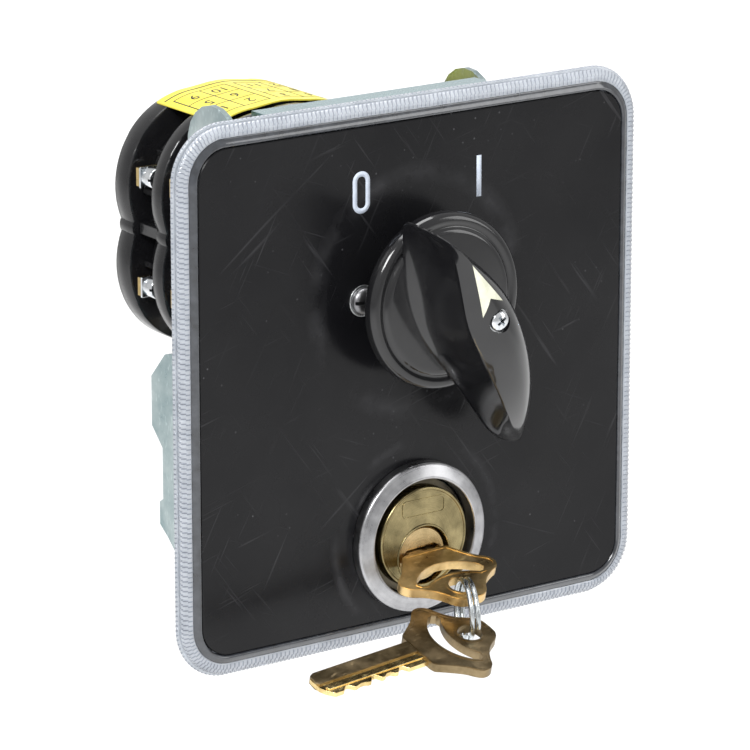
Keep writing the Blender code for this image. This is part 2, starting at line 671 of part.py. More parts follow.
def bend_bow(bm):
    """Bend everything beyond the shoulder of a key down by its droop, with a mitred crease."""
    geometry = bm.verts[:] + bm.edges[:] + bm.faces[:]
    bmesh.ops.bisect_plane(bm, geom=geometry, dist=1e-5, plane_co=(0.0, 0.0, 0.0), plane_no=(1.0, 0.0, 0.0))
    droop = radians(KEY_DROOP)
    turn = Matrix.Rotation(droop, 3, "Z")
    for vert in bm.verts:
        if vert.co.x > 1e-4:
            vert.co = turn @ vert.co
        elif vert.co.x > -1e-4:
            vert.co.x = -vert.co.y * tan(droop / 2)


def build_key(name, frame_matrix, bent, finish, pivot):
    holes = [circle((HOLE_ALONG, 0.0), HOLE_RADIUS, 16), crescent_slot()]
    bm = prism(key_outline(), -KEY_THICKNESS / 2, KEY_THICKNESS / 2, holes)
    if bent:
        bend_bow(bm)
    bmesh.ops.transform(bm, matrix=frame_matrix, verts=bm.verts)
    add_node(name, bm, finish, pivot)


def key_frame(origin, along, across):
    """Matrix from key space (x along, y through the sheet, z across) to the object."""
    along = along.normalized()
    across = (across - across.dot(along) * along).normalized()
    normal = across.cross(along)
    rotation = Matrix((along, normal, across)).transposed().to_4x4()
    return Matrix.Translation(origin) @ rotation


KEY_SHOULDER_Y = PLUG_FRONT_Y - 0.5
SPARE_HOLE = Vector((-4.0, -29.8, -55.9))
SPARE_ALONG = Vector((0.997, 0.037, 0.073))
SPARE_ACROSS = Vector((0.057, -0.956, -0.287))
RING_CENTRE = Vector((-2.0, -25.8, -51.2))
RING_NORMAL = Vector((-0.91, 0.4, -0.02)).normalized()


def build_split_ring(top_hole, bottom_hole):
    """Two turns of wire through both key holes."""
    down = bottom_hole - top_hole
    down = (down - down.dot(RING_NORMAL) * RING_NORMAL).normalized()
    forward = RING_NORMAL.cross(down)
    points = []
    turns = 2
    steps = 22
    for step in range(steps * turns - 1):
        angle = radians(20.0) + 2 * pi * step / steps
        shift = (step / (steps * turns - 2) - 0.5) * (WIRE_RADIUS * 2 + 0.12) * turns
        spoke = RING_RADIUS * (cos(angle) * down + sin(angle) * forward)
        points.append(RING_CENTRE + spoke + shift * RING_NORMAL)
    wire = tube_along(points, WIRE_RADIUS, 6)
    add_node("split_ring", wire, "zinc", top_hole)


def build_keys():
    tilt = radians(KEY_TILT)
    across = Vector((cos(tilt), 0.0, sin(tilt)))
    first = key_frame(Vector((0.0, KEY_SHOULDER_Y, PLUG_Z)), Vector((0.0, -1.0, 0.0)), across)
    hole = Vector((HOLE_ALONG, 0.0, 0.0))
    first_hole = first @ Matrix.Rotation(radians(KEY_DROOP), 4, "Z") @ hole
    second = key_frame(Vector(), SPARE_ALONG, SPARE_ACROSS)
    second = Matrix.Translation(SPARE_HOLE - second @ hole) @ second
    build_key("key_in_lock", first, True, "brass", first.translation)
    build_key("spare_key", second, False, "old_brass", SPARE_HOLE)
    build_split_ring(first_hole, SPARE_HOLE)


clear_scene()
build_front_plate()
build_steel_frame()
build_switch_body()
build_label()
build_contacts()
build_shaft_train()
build_bridges()
build_detent_springs()
build_knob()
build_lock()
build_keys()
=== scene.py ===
"""Looks for the rotary isolator switch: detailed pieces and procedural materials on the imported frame.

Shape helpers take millimetres; make_piece turns them into the frame's metres.  +X is right seen from
the front, +Y points through the panel to the rear and +Z is up.
"""

import math
from math import cos, pi, radians, sin

import bmesh
import bpy
from mathutils import Matrix, Vector
from mathutils.bvhtree import BVHTree


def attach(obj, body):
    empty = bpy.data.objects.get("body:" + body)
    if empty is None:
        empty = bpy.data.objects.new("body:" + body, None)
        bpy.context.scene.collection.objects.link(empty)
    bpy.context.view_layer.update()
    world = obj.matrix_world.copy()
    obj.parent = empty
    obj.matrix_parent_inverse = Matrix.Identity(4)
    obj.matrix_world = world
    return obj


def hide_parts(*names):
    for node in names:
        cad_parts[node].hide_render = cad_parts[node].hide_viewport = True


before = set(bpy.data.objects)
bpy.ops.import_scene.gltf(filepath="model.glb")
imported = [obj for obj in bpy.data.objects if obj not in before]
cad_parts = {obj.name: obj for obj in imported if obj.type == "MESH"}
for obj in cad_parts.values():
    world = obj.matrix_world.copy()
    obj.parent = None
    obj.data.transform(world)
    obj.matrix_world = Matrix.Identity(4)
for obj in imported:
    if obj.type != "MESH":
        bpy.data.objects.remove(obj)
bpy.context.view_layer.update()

MM = 0.001
FACE_Y = -3.4
AXIS_Z = 18.6
REST_TILT = 30.0
LOCK_Z = -39.35
PLUG_Z = -43.5
SHAFT = (0.0, AXIS_Z)
LOCK = (0.0, LOCK_Z)
PLUG = (0.0, PLUG_Z)
PLUG_RADIUS = 6.6
KEY_TILT = 2.5
KEY_DROOP = 16.7
PANEL_SCREW_X = 15.0
BODY_Z = 21.2
END_COVER_REAR = 80.0


# ---- materials

class Finish:
    """A Principled material and short ways to add nodes to it."""

    def __init__(self, name, colour, roughness, metallic=0.0, **sockets):
        self.material = bpy.data.materials.new(name)
        self.material.use_nodes = True
        self.tree = self.material.node_tree
        self.shader = self.tree.nodes["Principled BSDF"]
        self.set("Base Color", (*colour, 1.0))
        self.set("Roughness", roughness)
        self.set("Metallic", metallic)
        for socket, value in sockets.items():
            self.set(socket.replace("_", " "), value)
        self.coordinates = self.node("ShaderNodeTexCoord").outputs["Object"]

    def set(self, socket, value):
        self.shader.inputs[socket].default_value = value

    def node(self, kind, **settings):
        node = self.tree.nodes.new(kind)
        for key, value in settings.items():
            setattr(node, key, value)
        return node

    def link(self, source, target):
        self.tree.links.new(source, target)

    def stretched(self, stretch, rotation):
        """The object's coordinates drawn out by stretch along Z after a turn about Y."""
        mapping = self.node("ShaderNodeMapping", vector_type="TEXTURE")
        mapping.inputs["Scale"].default_value = (1.0, 1.0, stretch)
        mapping.inputs["Rotation"].default_value = (0.0, radians(rotation), 0.0)
        self.link(self.coordinates, mapping.inputs["Vector"])
        return mapping.outputs["Vector"]

    def noise(self, scale, detail=4.0, rough=0.55, vector=None):
        noise = self.node("ShaderNodeTexNoise")
        noise.inputs["Scale"].default_value = scale
        noise.inputs["Detail"].default_value = detail
        noise.inputs["Roughness"].default_value = rough
        self.link(vector or self.coordinates, noise.inputs["Vector"])
        return noise.outputs["Fac"]

    def ramp(self, source, stops):
        ramp = self.node("ShaderNodeValToRGB")
        elements = ramp.color_ramp.elements
        while len(elements) < len(stops):
            elements.new(0.5)
        for element, (place, colour) in zip(elements, stops):
            element.position = place
            element.color = (*colour, 1.0) if len(colour) == 3 else colour
        self.link(source, ramp.inputs["Fac"])
        return ramp.outputs["Color"]

    def levels(self, source, low, high, to_low=0.0, to_high=1.0):
        remap = self.node("ShaderNodeMapRange")
        for socket, value in zip(("From Min", "From Max", "To Min", "To Max"), (low, high, to_low, to_high)):
            remap.inputs[socket].default_value = value
        self.link(source, remap.inputs["Value"])
        return remap.outputs["Result"]

    def mix(self, factor, first, second):
        mix = self.node("ShaderNodeMix", data_type="RGBA")
        sockets = (mix.inputs["Factor"], mix.inputs[6], mix.inputs[7])
        for value, socket in zip((factor, first, second), sockets):
            if isinstance(value, (tuple, list)):
                socket.default_value = (*value, 1.0)
            elif isinstance(value, float):
                socket.default_value = value
            else:
                self.link(value, socket)
        return mix.outputs[2]

    def maths(self, operation, first, second=0.0):
        node = self.node("ShaderNodeMath", operation=operation)
        for value, socket in zip((first, second), node.inputs):
            if isinstance(value, float):
                socket.default_value = value
            else:
                self.link(value, socket)
        return node.outputs["Value"]

    def times(self, first, second):
        return self.maths("MULTIPLY", first, second)

    def most(self, first, *others):
        for other in others:
            first = self.maths("MAXIMUM", first, other)
        return first

    def radius_from(self, x, z):
        """Distance from the line along Y through (x, z), in millimetres."""
        split = self.node("ShaderNodeSeparateXYZ")
        self.link(self.coordinates, split.inputs["Vector"])
        across = self.maths("SUBTRACT", split.outputs["X"], x * MM)
        up = self.maths("SUBTRACT", split.outputs["Z"], z * MM)
        squared = self.maths("ADD", self.times(across, across), self.times(up, up))
        return self.times(self.maths("SQRT", squared), 1.0 / MM)

    def varying_with(self, source, pitch):
        """A texture vector that changes only with source, once every pitch."""
        combine = self.node("ShaderNodeCombineXYZ")
        self.link(self.times(source, 1.0 / pitch), combine.inputs["X"])
        return combine.outputs["Vector"]

    def colour(self, source):
        self.link(source, self.shader.inputs["Base Color"])

    def roughness(self, source):
        self.link(source, self.shader.inputs["Roughness"])

    def bump(self, source, strength, distance):
        bump = self.node("ShaderNodeBump")
        bump.inputs["Strength"].default_value = strength
        bump.inputs["Distance"].default_value = distance * MM
        self.link(source, bump.inputs["Height"])
        self.link(bump.outputs["Normal"], self.shader.inputs["Normal"])


def scratches(finish, scale, angle, low, high):
    """Sparse thin streaks, as a 0 to 1 mask, from noise stretched along one direction in X and Z."""
    streaks = finish.noise(scale, 2.0, 0.5, finish.stretched(28.0, angle))
    return finish.levels(streaks, low, high)


def clear_plastic(name, dark, light, transmission, coat):
    finish = Finish(name, light, 0.12, Transmission_Weight=transmission, IOR=1.47, Coat_Weight=coat)
    cloud = finish.noise(340.0, 3.0)
    finish.colour(finish.ramp(cloud, [(0.30, dark), (0.70, light)]))
    finish.roughness(finish.levels(finish.noise(900.0), 0.3, 0.7, 0.08, 0.20))
    finish.bump(finish.noise(1500.0, 2.0), 0.10, 0.05)
    return finish.material


def black_face():
    finish = Finish("black_face", (0.008, 0.008, 0.009), 0.3, Specular_IOR_Level=0.24)
    fine = ((1300.0, 28.0, 0.67, 0.77), (1000.0, -37.0, 0.67, 0.78), (1150.0, 74.0, 0.68, 0.78))
    fine += ((900.0, -68.0, 0.68, 0.78),)
    marks = finish.times(finish.most(*(scratches(finish, *streak) for streak in fine)), 0.18)
    rare = scratches(finish, 420.0, 52.0, 0.71, 0.78)
    marks = finish.most(marks, finish.times(rare, 0.28))
    marks = finish.times(marks, finish.levels(finish.noise(38.0, 3.0), 0.38, 0.62))
    worn = []
    for place, middle, width in ((SHAFT, 27.5, 3.2), (LOCK, 22.5, 1.6)):
        away = finish.maths("ABSOLUTE", finish.maths("SUBTRACT", finish.radius_from(*place), middle))
        band = finish.levels(away, 0.0, width, 1.0, 0.0)
        worn.append(finish.times(band, finish.levels(finish.noise(70.0, 5.0), 0.46, 0.66)))
    rub = finish.times(finish.most(*worn), 0.16)
    specks = finish.node("ShaderNodeTexVoronoi", distance="EUCLIDEAN")
    specks.inputs["Scale"].default_value = 330.0
    finish.link(finish.coordinates, specks.inputs["Vector"])
    dust = finish.levels(specks.outputs["Distance"], 0.05, 0.09, 1.0, 0.0)
    dust = finish.times(dust, finish.levels(finish.noise(45.0), 0.5, 0.62))
    lift = finish.most(marks, rub, finish.times(dust, 0.4))
    tones = [(0.35, (0.004, 0.004, 0.005)), (0.7, (0.010, 0.010, 0.011))]
    cloudy = finish.ramp(finish.noise(24.0, 5.0), tones)
    finish.colour(finish.mix(lift, cloudy, (0.15, 0.15, 0.16)))
    finish.roughness(finish.levels(finish.maths("ADD", finish.noise(55.0, 6.0), lift), 0.3, 1.0, 0.18, 0.42))
    finish.bump(lift, 0.25, 0.02)
    return finish.material


def glossy_black(name, roughness, grain, ripple):
    finish = Finish(name, (0.006, 0.006, 0.007), roughness, Coat_Weight=0.3, Coat_Roughness=0.06)
    tones = [(0.3, (0.004, 0.004, 0.005)), (0.75, (0.013, 0.013, 0.014))]
    finish.colour(finish.ramp(finish.noise(90.0, 5.0), tones))
    finish.roughness(finish.levels(finish.noise(grain, 5.0), 0.3, 0.75, roughness * 0.8, roughness * 1.7))
    finish.bump(finish.noise(ripple, 3.0), 0.12, 0.08)
    return finish.material


def turned_metal(name, dark, light, centre, pitch, roughness):
    """Metal with fine rings round centre, as a lathe leaves them, and a cloudy tarnish."""
    finish = Finish(name, light, roughness, 1.0)
    rings = finish.noise(1.0, 2.0, 0.6, finish.varying_with(finish.radius_from(*centre), pitch))
    cloud = finish.noise(170.0, 6.0, 0.6)
    finish.colour(finish.ramp(finish.mix(0.3, cloud, rings), [(0.34, dark), (0.62, light)]))
    finish.roughness(finish.levels(finish.mix(0.5, cloud, rings), 0.3, 0.7, roughness * 0.7, roughness * 1.5))
    finish.bump(rings, 0.10, 0.02)
    return finish.material


def plain_metal(name, dark, light, roughness, cloud_scale=120.0, scratch_angle=20.0):
    """Metal with cloudy tone, scattered fine scratches and uneven gloss."""
    finish = Finish(name, light, roughness, 1.0)
    cloud = finish.noise(cloud_scale, 7.0, 0.62)
    tone = finish.ramp(cloud, [(0.32, dark), (0.64, light)])
    marks = finish.times(scratches(finish, 1500.0, scratch_angle, 0.60, 0.74), 0.5)
    finish.colour(finish.mix(marks, tone, tuple(min(1.0, c * 1.35) for c in light)))
    wear = finish.maths("ADD", cloud, marks)
    finish.roughness(finish.levels(wear, 0.3, 1.1, roughness * 0.75, roughness * 1.8))
    finish.bump(finish.noise(cloud_scale * 9.0, 4.0), 0.08, 0.03)
    return finish.material


def paint(name, low, high, roughness, scale=400.0):
    finish = Finish(name, high, roughness)
    finish.colour(finish.ramp(finish.noise(scale, 5.0), [(0.3, low), (0.65, high)]))
    finish.roughness(finish.levels(finish.noise(scale * 2.0), 0.3, 0.7, roughness * 0.8, roughness * 1.3))
    finish.bump(finish.noise(scale * 6.0, 3.0), 0.08, 0.02)
    return finish.material


CLEAR = clear_plastic("clear_plastic", (0.56, 0.60, 0.66), (0.72, 0.76, 0.82), 0.45, 0.5)
# Darker clear plastic for the faces in the rib valleys: painted shade between the ribs.
VALLEY_SHADE = clear_plastic("clear_valley_painted_shade", (0.20, 0.22, 0.26), (0.30, 0.32, 0.37), 0.2, 0.3)
DARK_CLEAR = clear_plastic("clear_over_black", (0.020, 0.022, 0.026), (0.05, 0.055, 0.065), 0.0, 1.0)
FACE = black_face()
KNOB = glossy_black("knob_black", 0.10, 500.0, 60.0)
BAKELITE = glossy_black("bakelite", 0.20, 300.0, 240.0)
NUMERAL = paint("numeral_paint", (0.50, 0.56, 0.66), (0.62, 0.68, 0.78), 0.45)
IVORY = paint("ivory_paint", (0.66, 0.67, 0.50), (0.80, 0.80, 0.66), 0.42)
NYLON = paint("nylon", (0.60, 0.60, 0.52), (0.74, 0.74, 0.66), 0.4)
LABEL = paint("label_yellow", (0.76, 0.64, 0.055), (0.84, 0.73, 0.09), 0.38, 150.0)
INK = paint("label_ink", (0.010, 0.010, 0.010), (0.03, 0.03, 0.03), 0.5)
ZINC = plain_metal("zinc_plate", (0.10, 0.19, 0.21), (0.30, 0.42, 0.44), 0.24, 70.0)
SIDE_ZINC = plain_metal("side_zinc", (0.22, 0.32, 0.34), (0.56, 0.64, 0.64), 0.30, 55.0)
STEEL = plain_metal("steel", (0.36, 0.37, 0.38), (0.66, 0.67, 0.68), 0.26)
# Near-black steel for the panel screw heads: painted shade and painted reflection of the black knob.
SHADED_SCREW_STEEL = plain_metal("screw_steel_painted_shade", (0.10, 0.10, 0.105), (0.26, 0.26, 0.27), 0.30)
BRIGHT = plain_metal("bright_steel", (0.52, 0.55, 0.58), (0.86, 0.88, 0.90), 0.14, 300.0)
WIRE = plain_metal("ring_wire", (0.36, 0.39, 0.40), (0.70, 0.73, 0.74), 0.24, 260.0)
CONTACT = plain_metal("contact_brass", (0.42, 0.30, 0.12), (0.74, 0.57, 0.27), 0.28)
KEY_GOLD = plain_metal("key_gold", (0.40, 0.27, 0.11), (0.80, 0.58, 0.28), 0.34, 150.0, 70.0)
KEY_DARK = plain_metal("key_dark", (0.15, 0.11, 0.055), (0.34, 0.26, 0.15), 0.36, 170.0, 70.0)
KEY_WORN = plain_metal("key_worn", (0.52, 0.37, 0.14), (0.92, 0.71, 0.34), 0.22, 300.0, 70.0)
RING_STEEL = turned_metal("ring_steel", (0.24, 0.24, 0.25), (0.52, 0.52, 0.53), LOCK, 0.25, 0.28)
# Near-black metal for the barrel round the lock face: painted shade in the recess between the brass face and
# the ring.
RECESS_SHADE_BARREL = plain_metal("barrel_painted_shade", (0.05, 0.045, 0.035), (0.16, 0.14, 0.10), 0.35)
LOCK_BRASS = turned_metal("lock_brass", (0.12, 0.10, 0.05), (0.40, 0.33, 0.17), LOCK, 0.20, 0.22)
PLUG_BRASS = turned_metal("plug_brass", (0.28, 0.21, 0.10), (0.74, 0.56, 0.30), PLUG, 0.16, 0.24)


# ---- shape helpers

def add_object(name, data):
    made = bpy.data.objects.new(name, data)
    bpy.context.collection.objects.link(made)
    return made


def to_object(name, bm):
    """An object in metres from a bmesh in millimetres, with its faces turned outwards."""
    bmesh.ops.recalc_face_normals(bm, faces=bm.faces)
    bmesh.ops.scale(bm, verts=bm.verts, vec=(MM, MM, MM))
    mesh = bpy.data.meshes.new(name)
    bm.to_mesh(mesh)
    bm.free()
    return add_object(name, mesh)


def make_piece(name, bm, material, body, slot, replaces=(), bevel=0.0, smooth=35.0, levels=0):
    """One visible piece from a bmesh in millimetres, riding on a body."""
    piece = to_object(name, bm)
    piece.data.shade_smooth()
    if smooth:
        piece.data.set_sharp_from_angle(angle=radians(smooth))
    piece.data.materials.append(material)
    if bevel:
        add_bevel(piece, bevel)
    if levels:
        modifier = piece.modifiers.new("subdivision", "SUBSURF")
        modifier.levels = levels
        modifier.render_levels = levels
    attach(piece, body)
    if replaces:
        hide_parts(*replaces)
    return piece


def fixed_piece(name, bm, material, slot, replaces=(), **looks):
    return make_piece(name, bm, material, "housing", slot, replaces, **looks)


def add_bevel(piece, width, segments=2, angle=35.0):
    bevel = piece.modifiers.new("bevel", "BEVEL")
    bevel.width = width * MM
    bevel.segments = segments
    bevel.limit_method = "ANGLE"
    bevel.angle_limit = radians(angle)
    bevel.harden_normals = True


def arc(centre, radius, start, end, steps):
    angles = [radians(start + (end - start) * i / steps) for i in range(steps + 1)]
    return [(centre[0] + radius * cos(a), centre[1] + radius * sin(a)) for a in angles]


def circle(centre, radius, segments):
    return arc(centre, radius, 0.0, 360.0, segments)[:-1]


def rectangle(centre, half_x, half_z):
    corners = ((-1, -1), (1, -1), (1, 1), (-1, 1))
    return [(centre[0] + half_x * x, centre[1] + half_z * z) for x, z in corners]


def rounded_rectangle(centre, half_x, half_z, radius, steps=6):
    points = []
    for turn in range(4):
        sign_x = (1, -1, -1, 1)[turn]
        sign_z = (1, 1, -1, -1)[turn]
        corner = (centre[0] + sign_x * (half_x - radius), centre[1] + sign_z * (half_z - radius))
        points += arc(corner, radius, 90.0 * turn, 90.0 * (turn + 1), steps)
    return points


def offset(outline, distance):
    """The outline moved inwards by distance, vertex by vertex."""
    count = len(outline)
    area = sum(outline[i - 1][0] * outline[i][1] - outline[i][0] * outline[i - 1][1] for i in range(count))
    inward = 1.0 if area > 0 else -1.0
    moved = []
    for i, point in enumerate(outline):
        before = Vector(point) - Vector(outline[i - 1])
        after = Vector(outline[(i + 1) % count]) - Vector(point)
        if before.length < 1e-6 or after.length < 1e-6:
            moved.append(point)
            continue
        normal = Vector((-before.y, before.x)).normalized() + Vector((-after.y, after.x)).normalized()
        scale = max(0.35, normal.length_squared / 2)
        shift = normal * inward * distance / scale
        moved.append((point[0] + shift.x, point[1] + shift.y))
    return moved


def bridge(bm, lower, upper):
    count = len(lower)
    for i in range(count):
        j = (i + 1) % count
        corners = list(dict.fromkeys([lower[i], lower[j], upper[j], upper[i]]))
        if len(corners) > 2:
            bm.faces.new(corners)


def loop_edges(bm, loop):
    edges = []
    for first, second in zip(loop, loop[1:] + loop[:1]):
        edges.append(bm.edges.get((first, second)) or bm.edges.new((first, second)))
    return edges


def layered(layers, holes=()):
    """A closed solid through (y, outline) layers of equal point counts, with straight through holes."""
    bm = bmesh.new()
    loops = [[bm.verts.new((x, y, z)) for x, z in outline] for y, outline in layers]
    for lower, upper in zip(loops, loops[1:]):
        bridge(bm, lower, upper)
    caps = [loop_edges(bm, loops[0]), loop_edges(bm, loops[-1])]
    for hole in holes:
        pair = [[bm.verts.new((x, y, z)) for x, z in hole] for y in (layers[0][0], layers[-1][0])]
        bridge(bm, pair[0], pair[1])
        for cap, loop in zip(caps, pair):
            cap += loop_edges(bm, loop)
    for cap in caps:
        bmesh.ops.triangle_fill(bm, use_beauty=True, use_dissolve=False, edges=cap)
    return bm


def prism(outline, y_front, y_back, holes=()):
    return layered([(y_front, outline), (y_back, outline)], holes)


def turned(profile, centre, segments, closed=False):
    """Turn (radius, y) points about the Y axis through centre (x, z)."""
    bm = bmesh.new()
    rings = []
    for radius, y in profile:
        if radius == 0:
            rings.append([bm.verts.new((centre[0], y, centre[1]))] * segments)
        else:
            rings.append([bm.verts.new((x, y, z)) for x, z in circle(centre, radius, segments)])
    pairs = list(zip(rings, rings[1:]))
    if closed:
        pairs.append((rings[-1], rings[0]))
    for lower, upper in pairs:
        bridge(bm, lower, upper)
    return bm


def raised(profile, centre, segments, closed=True, base=FACE_Y):
    """Turn (radius, height in front of base) points about the Y axis through centre."""
    return turned([(radius, base - height) for radius, height in profile], centre, segments, closed)


def box(*ranges):
    """A cuboid from its (low, high) ranges in X, Y and Z."""
    bm = bmesh.new()
    centre = [(low + high) / 2 for low, high in ranges]
    size = [high - low for low, high in ranges]
    bmesh.ops.create_cube(bm, size=1.0, matrix=Matrix.Translation(centre) @ Matrix.Diagonal((*size, 1.0)))
    return bm


def join(*parts):
    """Put the closed shells of several bmeshes in one."""
    whole = bmesh.new()
    for part in parts:
        mesh = bpy.data.meshes.new("joining")
        part.to_mesh(mesh)
        part.free()
        whole.from_mesh(mesh)
        bpy.data.meshes.remove(mesh)
    return whole


def tube_along(points, radius, sides):
    """A round bar along a list of points, with parallel-carried cross-sections."""
    bm = bmesh.new()
    rings = []
    side = Vector((0.0, 0.0, 1.0))
    last = len(points) - 1
    for index, point in enumerate(points):
        tangent = (points[min(index + 1, last)] - points[max(index - 1, 0)]).normalized()
        if index == 0 and abs(tangent.dot(side)) > 0.9:
            side = Vector((1.0, 0.0, 0.0))
        side = (side - side.dot(tangent) * tangent).normalized()
        other = tangent.cross(side)
        angles = [2 * pi * k / sides for k in range(sides)]
        rings.append([bm.verts.new(point + radius * (cos(a) * side + sin(a) * other)) for a in angles])
    for lower, upper in zip(rings, rings[1:]):
        bridge(bm, lower, upper)
    bm.faces.new(list(reversed(rings[0])))
    bm.faces.new(rings[-1])
    return bm


# ---- front plate

CORNER_CENTRE = 51.0
RIB_COLUMNS = 4
RIBS = 428
PLATE_HALF = 64.0


def square_columns(count):
    """(base point, outward normal) round the plate, evenly spaced along its outer edge."""
    radius = PLATE_HALF - CORNER_CENTRE
    straight = 2 * CORNER_CENTRE
    corner = radius * pi / 2
    columns = []
    for k in range(count):
        along = 4 * (straight + corner) * k / count
        side, along = divmod(along, straight + corner)
        if along < straight:
            base = Vector((CORNER_CENTRE, along - CORNER_CENTRE))
            normal = Vector((1.0, 0.0))
        else:
            angle = (along - straight) / radius
            base = Vector((CORNER_CENTRE, CORNER_CENTRE))
            normal = Vector((cos(angle), sin(angle)))
        turn = Matrix.Rotation(side * pi / 2, 2)
        columns.append((turn @ base, turn @ normal))
    return columns


def ribbed_ring(profile):
    """Sweep a closed (half side, y, rib height, slant) profile round the plate; valleys take slot 1, a darker
    clear plastic that is painted shade between the ribs.

    A point of two numbers has no rib.
    """
    profile = [(*point, 0.0, 0.0)[:4] for point in profile]
    bm = bmesh.new()
    rings = []
    for k, (base, normal) in enumerate(square_columns(RIBS * RIB_COLUMNS)):
        ring = []
        for half, y, rib, slant in profile:
            rise = rib * abs(sin(pi * (k / RIB_COLUMNS + slant)))
            point = base + normal * (half - CORNER_CENTRE + rise)
            ring.append(bm.verts.new((point.x, y - rise * 0.5, point.y)))
        rings.append(ring)
    for k, (lower, upper) in enumerate(zip(rings, rings[1:] + rings[:1])):
        for i in range(len(lower)):
            j = (i + 1) % len(lower)
            face = bm.faces.new((lower[i], lower[j], upper[j], upper[i]))
            # Valley faces get the darker plastic of slot 1, painted shade between the ribs.
            valley = round(k + profile[i][3] * RIB_COLUMNS) % RIB_COLUMNS == 0
            face.material_index = int(valley and min(profile[i][2], profile[j][2]) > 0.05)
    return bm


def build_front_plate():
    bezel = [
        (60.6, -2.62), (60.8, -2.75, 0.1, 0.0), (61.2, -2.75, 0.22, 0.0),
        (61.8, -2.6, 0.26, 0.16), (62.3, -2.3, 0.28, 0.34), (62.8, -1.95, 0.26, 0.52),
        (63.1, -1.6, 0.18, 0.64), (63.2, -1.45, 0.1, 0.7), (63.2, -1.3),
        (62.9, -1.2), (60.6, -1.2),
    ]
    bezel = ribbed_ring(bezel)
    bezel = fixed_piece("cover_bezel", bezel, CLEAR, "clear_cover", ["clear_cover"], smooth=50.0)
    bezel.data.materials.append(VALLEY_SHADE)
    bevel = [
        (58.5, -2.9), (58.7, -3.3), (59.0, -3.5), (59.3, -3.45),
        (60.2, -2.75), (60.5, -2.62), (60.5, -1.2), (58.5, -1.2),
    ]
    fixed_piece("cover_bevel", ribbed_ring(bevel), DARK_CLEAR, "clear_cover", smooth=50.0)
    flange = [
        (62.6, -1.0), (63.3, -1.0), (63.6, -0.9, 0.14, 0.0), (63.8, -0.6, 0.16, 0.1),
        (63.8, -0.3, 0.14, 0.2), (63.6, 0.0, 0.0, 0.3), (54.0, 0.0), (54.0, -0.8),
        (57.0, -0.8),
    ]
    flange = ribbed_ring(flange)
    flange = fixed_piece("base_flange", flange, CLEAR, "base_frame", ["base_frame"], smooth=50.0)
    flange.data.materials.append(VALLEY_SHADE)
    holes = [circle(SHAFT, 8.0, 40), circle(LOCK, 13.9, 48)]
    holes += [circle((side * PANEL_SCREW_X, AXIS_Z), 2.0, 16) for side in (-1, 1)]
    outline = rounded_rectangle((0.0, 0.0), 58.4, 58.4, 7.4, 10)
    plate = layered([(-3.32, offset(outline, 0.25)), (-3.1, outline), (-1.3, outline)], holes)
    fixed_piece("face_plate", plate, FACE, "face_sheet", ["face_sheet"], smooth=25.0)
    zero = rounded_rectangle((-15.2, 43.6), 2.35, 4.85, 2.3, 8)
    inner = rounded_rectangle((-15.2, 43.6), 1.15, 3.65, 1.1, 8)
    zero = prism(zero, -3.37, -3.30, [inner])
    fixed_piece("numeral_zero", zero, NUMERAL, "face_sheet", smooth=0.0)
    one = rectangle((17.4, 43.0), 0.66, 4.8)
    fixed_piece("numeral_one", prism(one, -3.37, -3.30), NUMERAL, "face_sheet", smooth=0.0)


def screw_head(radius, y_top, y_base, centre, dome):
    """A domed head as a turned body; the slot or cross is cut afterwards by cut."""
    profile = [(0.0, y_top)]
    for k in range(1, 7):
        part = k / 6.0
        profile.append((radius * sin(part * pi / 2), y_top + dome * (1.0 - cos(part * pi / 2))))
    profile += [(radius, y_base), (0.0, y_base)]
    return turned(profile, centre, 32)


def evaluated_mesh(holder):
    """A new mesh with the object's shape, modifiers included."""
    graph = bpy.context.evaluated_depsgraph_get()
    return bpy.data.meshes.new_from_object(holder.evaluated_get(graph))


def bake_modifiers(piece):
    """Replace the piece's mesh by its shape with the modifiers on, and drop the modifiers."""
    result = evaluated_mesh(piece)
    old = piece.data
    piece.modifiers.clear()
    piece.data = result
    bpy.data.meshes.remove(old)


def cut(piece, cutter_bm, name):
    """Cut a piece by an exact Boolean, applied at once so that no cutter stays in the scene."""
    cutter = to_object(name, cutter_bm)
    modifier = piece.modifiers.new(name, "BOOLEAN")
    modifier.object = cutter
    modifier.solver = "EXACT"
    bake_modifiers(piece)
    bpy.data.objects.remove(cutter)


def cross_cutter(centre, y_low, y_high, arm, half_width):
    """A tapered cross for a Phillips recess, pointing into +Y."""
    shells = []
    for turn in (35.0, 125.0):
        spin = Matrix.Rotation(radians(turn), 2)
        layers = []
        for y, reach, half in ((y_low, arm, half_width), (y_high, arm * 0.45, half_width * 0.55)):
            corners = [spin @ Vector(c) for c in rectangle((0.0, 0.0), reach, half)]
            layers.append((y, [(centre[0] + c.x, centre[1] + c.y) for c in corners]))
        shells.append(layered(layers))
    return shells


def build_panel_screws():
    for side, word in ((-1, "left"), (1, "right")):
        slot_name = "panel_screw_" + word
        centre = (side * PANEL_SCREW_X, AXIS_Z)
        head = screw_head(3.2, FACE_Y - 2.3, FACE_Y - 0.1, centre, 1.5)
        # The head's near-black steel is painted shade and painted reflection of the black knob.
        head = fixed_piece("panel_screw_head_" + word, head, SHADED_SCREW_STEEL, slot_name, [slot_name])
        across = (centre[0] - 4.0, centre[0] + 4.0)
        slot = box(across, (FACE_Y - 3.0, FACE_Y - 1.4), (AXIS_Z - 0.4, AXIS_Z + 0.4))
        cut(head, slot, "screw_slot")
        profile = [(2.2, 0.4), (3.5, 0.4), (3.65, 0.3), (3.65, 0.0), (2.2, 0.0)]
        washer = raised(profile, centre, 32)
        fixed_piece("panel_washer_" + word, washer, STEEL, slot_name, bevel=0.06)


# ---- knob

